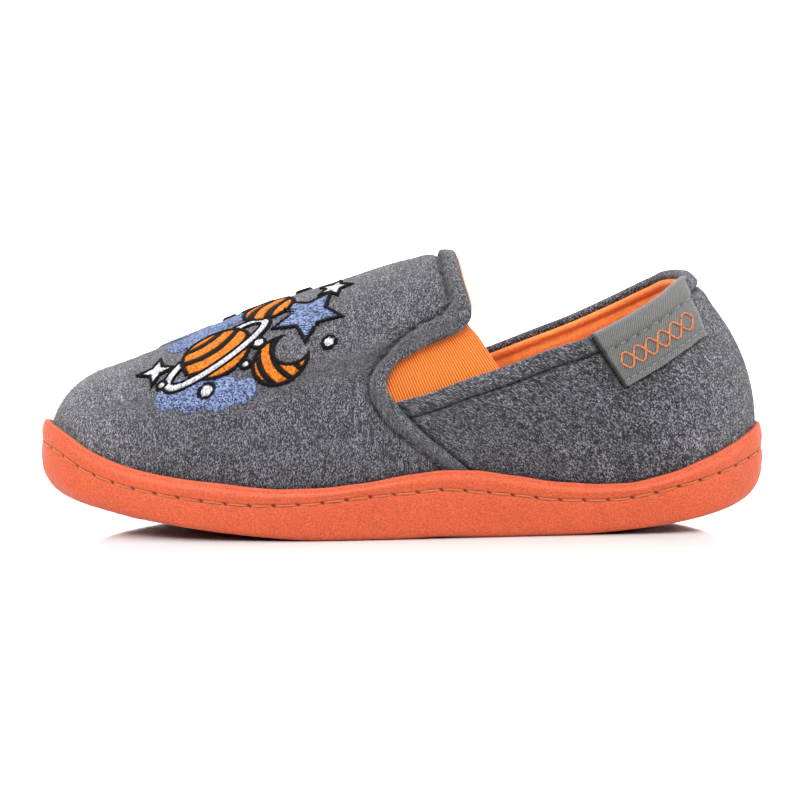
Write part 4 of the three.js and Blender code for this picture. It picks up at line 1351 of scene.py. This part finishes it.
def lint(points_, normals, count, name, length=(0.5, 1.5), width=0.022):
    flat_p, flat_n = points_.reshape(-1, 3), normals.reshape(-1, 3)
    pick = rng.integers(0, len(flat_p), count)
    root = flat_p[pick] + rng.normal(0, 0.25, (count, 3))
    n = flat_n[pick]
    root = root - n * np.einsum("ij,ij->i", root - flat_p[pick], n)[:, None]
    side = unit(np.cross(n, rng.normal(0, 1, (count, 3))))
    lift = rng.uniform(0.15, 0.9, count)[:, None]
    way = unit(n * lift + side)
    tall = rng.uniform(*length, count)[:, None]
    a = unit(np.cross(way, n))
    b = np.cross(way, a)
    corners = [root + (a * math.cos(q) + b * math.sin(q)) * width for q in (0, 2.09, 4.19)]
    middle_ = root + way * tall * 0.55 + n * tall * 0.05
    mids = [middle_ + (a * math.cos(q) + b * math.sin(q)) * width * 0.8 for q in (0, 2.09, 4.19)]
    tip_ = root + way * tall * 0.95 - n * tall * 0.12
    pts = np.stack(corners + mids + [tip_], 1).reshape(-1, 3)
    tri = np.array([[0, 1, 4], [0, 4, 3], [1, 2, 5], [1, 5, 4], [2, 0, 3], [2, 3, 5], [3, 4, 6], [4, 5, 6], [5, 3, 6],
                    [0, 2, 1]])
    faces_ = (tri[None] + 7 * np.arange(count)[:, None, None]).reshape(-1, 3)
    obj = mesh_object(name, pts, faces_, [FUZZ])
    place(obj, "jersey")


lint(vamp_out[4:, 4:-4], normal[4:, 4:-4], 9000, "lint_front")
lint(quarter_out[8:, 6:-6], normal_q[8:, 6:-6], 7000, "lint_back")

# Floor, light and camera
bpy.ops.mesh.primitive_plane_add(size=40, location=(0, 8, 0))
floor = bpy.context.object
floor.name = "floor"
ground = Paint("pale_floor", Roughness=0.06)
ground.shader.inputs["Specular IOR Level"].default_value = 0.5
tone = ground.noise(ground.position(), 3.0, 2.0, 0.5)
floor.data.materials.append(ground.finish(ground.mix(tone, (0.79, 0.79, 0.79), (0.81, 0.81, 0.81))))

# The studio is bright overhead, and a low bright strip behind the slipper whitens the glossy floor
CEILING, WALL_LIGHT, BACKDROP = 2.0, 0.25, 3.0
world = bpy.data.worlds.new("studio")
world.use_nodes = True
sky = world.node_tree.nodes
link = world.node_tree.links.new
toward = sky.new("ShaderNodeTexCoord")
parts = sky.new("ShaderNodeSeparateXYZ")
link(toward.outputs["Generated"], parts.inputs[0])
square = sky.new("ShaderNodeMath")
square.operation = "MULTIPLY"
link(parts.outputs[2], square.inputs[0])
link(parts.outputs[2], square.inputs[1])
wall = sky.new("ShaderNodeMapRange")
wall.interpolation_type = "SMOOTHSTEP"
link(parts.outputs[1], wall.inputs[0])
for key, value in ((1, 0.15), (2, 0.75), (3, 0.0), (4, WALL_LIGHT)):
    wall.inputs[key].default_value = value
total = sky.new("ShaderNodeMath")
total.operation = "MULTIPLY_ADD"
link(square.outputs[0], total.inputs[0])
total.inputs[1].default_value = CEILING
link(wall.outputs[0], total.inputs[2])
low_strip = sky.new("ShaderNodeMapRange")
low_strip.interpolation_type = "SMOOTHSTEP"
link(parts.outputs[2], low_strip.inputs[0])
for key, value in ((1, 0.16), (2, 0.3), (3, BACKDROP), (4, 0.0)):
    low_strip.inputs[key].default_value = value
far_side = sky.new("ShaderNodeMapRange")
far_side.interpolation_type = "SMOOTHSTEP"
link(parts.outputs[1], far_side.inputs[0])
for key, value in ((1, 0.55), (2, 0.85), (3, 0.0), (4, 1.0)):
    far_side.inputs[key].default_value = value
with_strip = sky.new("ShaderNodeMath")
with_strip.operation = "MULTIPLY_ADD"
link(low_strip.outputs[0], with_strip.inputs[0])
link(far_side.outputs[0], with_strip.inputs[1])
link(total.outputs[0], with_strip.inputs[2])
sky["Background"].inputs[0].default_value = (1.0, 1.0, 1.0, 1.0)
link(with_strip.outputs[0], sky["Background"].inputs[1])
scene.world = world


def area_light(name, place_, aim, size, watts):
    data = bpy.data.lights.new(name, "AREA")
    data.shape = "RECTANGLE"
    data.size, data.size_y = size
    data.energy = watts
    obj = bpy.data.objects.new(name, data)
    scene.collection.objects.link(obj)
    obj.location = place_
    obj.rotation_euler = (Vector(aim) - Vector(place_)).to_track_quat("-Z", "Y").to_euler()
    return obj


area_light("top", (0, 0.35, 1.6), (0, 0.2, 0.0), (2.6, 2.2), 28.0)
area_light("front", (-0.4, -0.9, 0.85), (0, 0, 0.03), (0.7, 0.5), 10.5)
area_light("left", (-1.1, -0.15, 0.75), (0, 0, 0.03), (0.6, 0.8), 6.5)
area_light("right", (1.1, -0.15, 0.6), (0, 0, 0.03), (0.6, 0.8), 10.0)

AZIMUTH, ELEVATION = math.radians(-5.0), math.radians(6.5)
PIXELS_PER_MM = 3.6
DISTANCE = 6.0
back = Vector(
    (math.sin(AZIMUTH) * math.cos(ELEVATION), -math.cos(AZIMUTH) * math.cos(ELEVATION), math.sin(ELEVATION))
)
right = Vector((math.cos(AZIMUTH), math.sin(AZIMUTH), 0))
up = right.cross(-back)
camera_data = bpy.data.cameras.new("camera")
camera_data.sensor_width = 36
camera_data.lens = 36 * DISTANCE / (800 / PIXELS_PER_MM * MM)
camera_data.clip_end = 100
camera = bpy.data.objects.new("camera", camera_data)
scene.collection.objects.link(camera)
target = right * (-0.83 * MM) + up * (34.4 * MM)
camera.location = target + back * DISTANCE
camera.rotation_mode = "QUATERNION"
camera.rotation_quaternion = (-back).to_track_quat("-Z", "Y")
scene.camera = camera
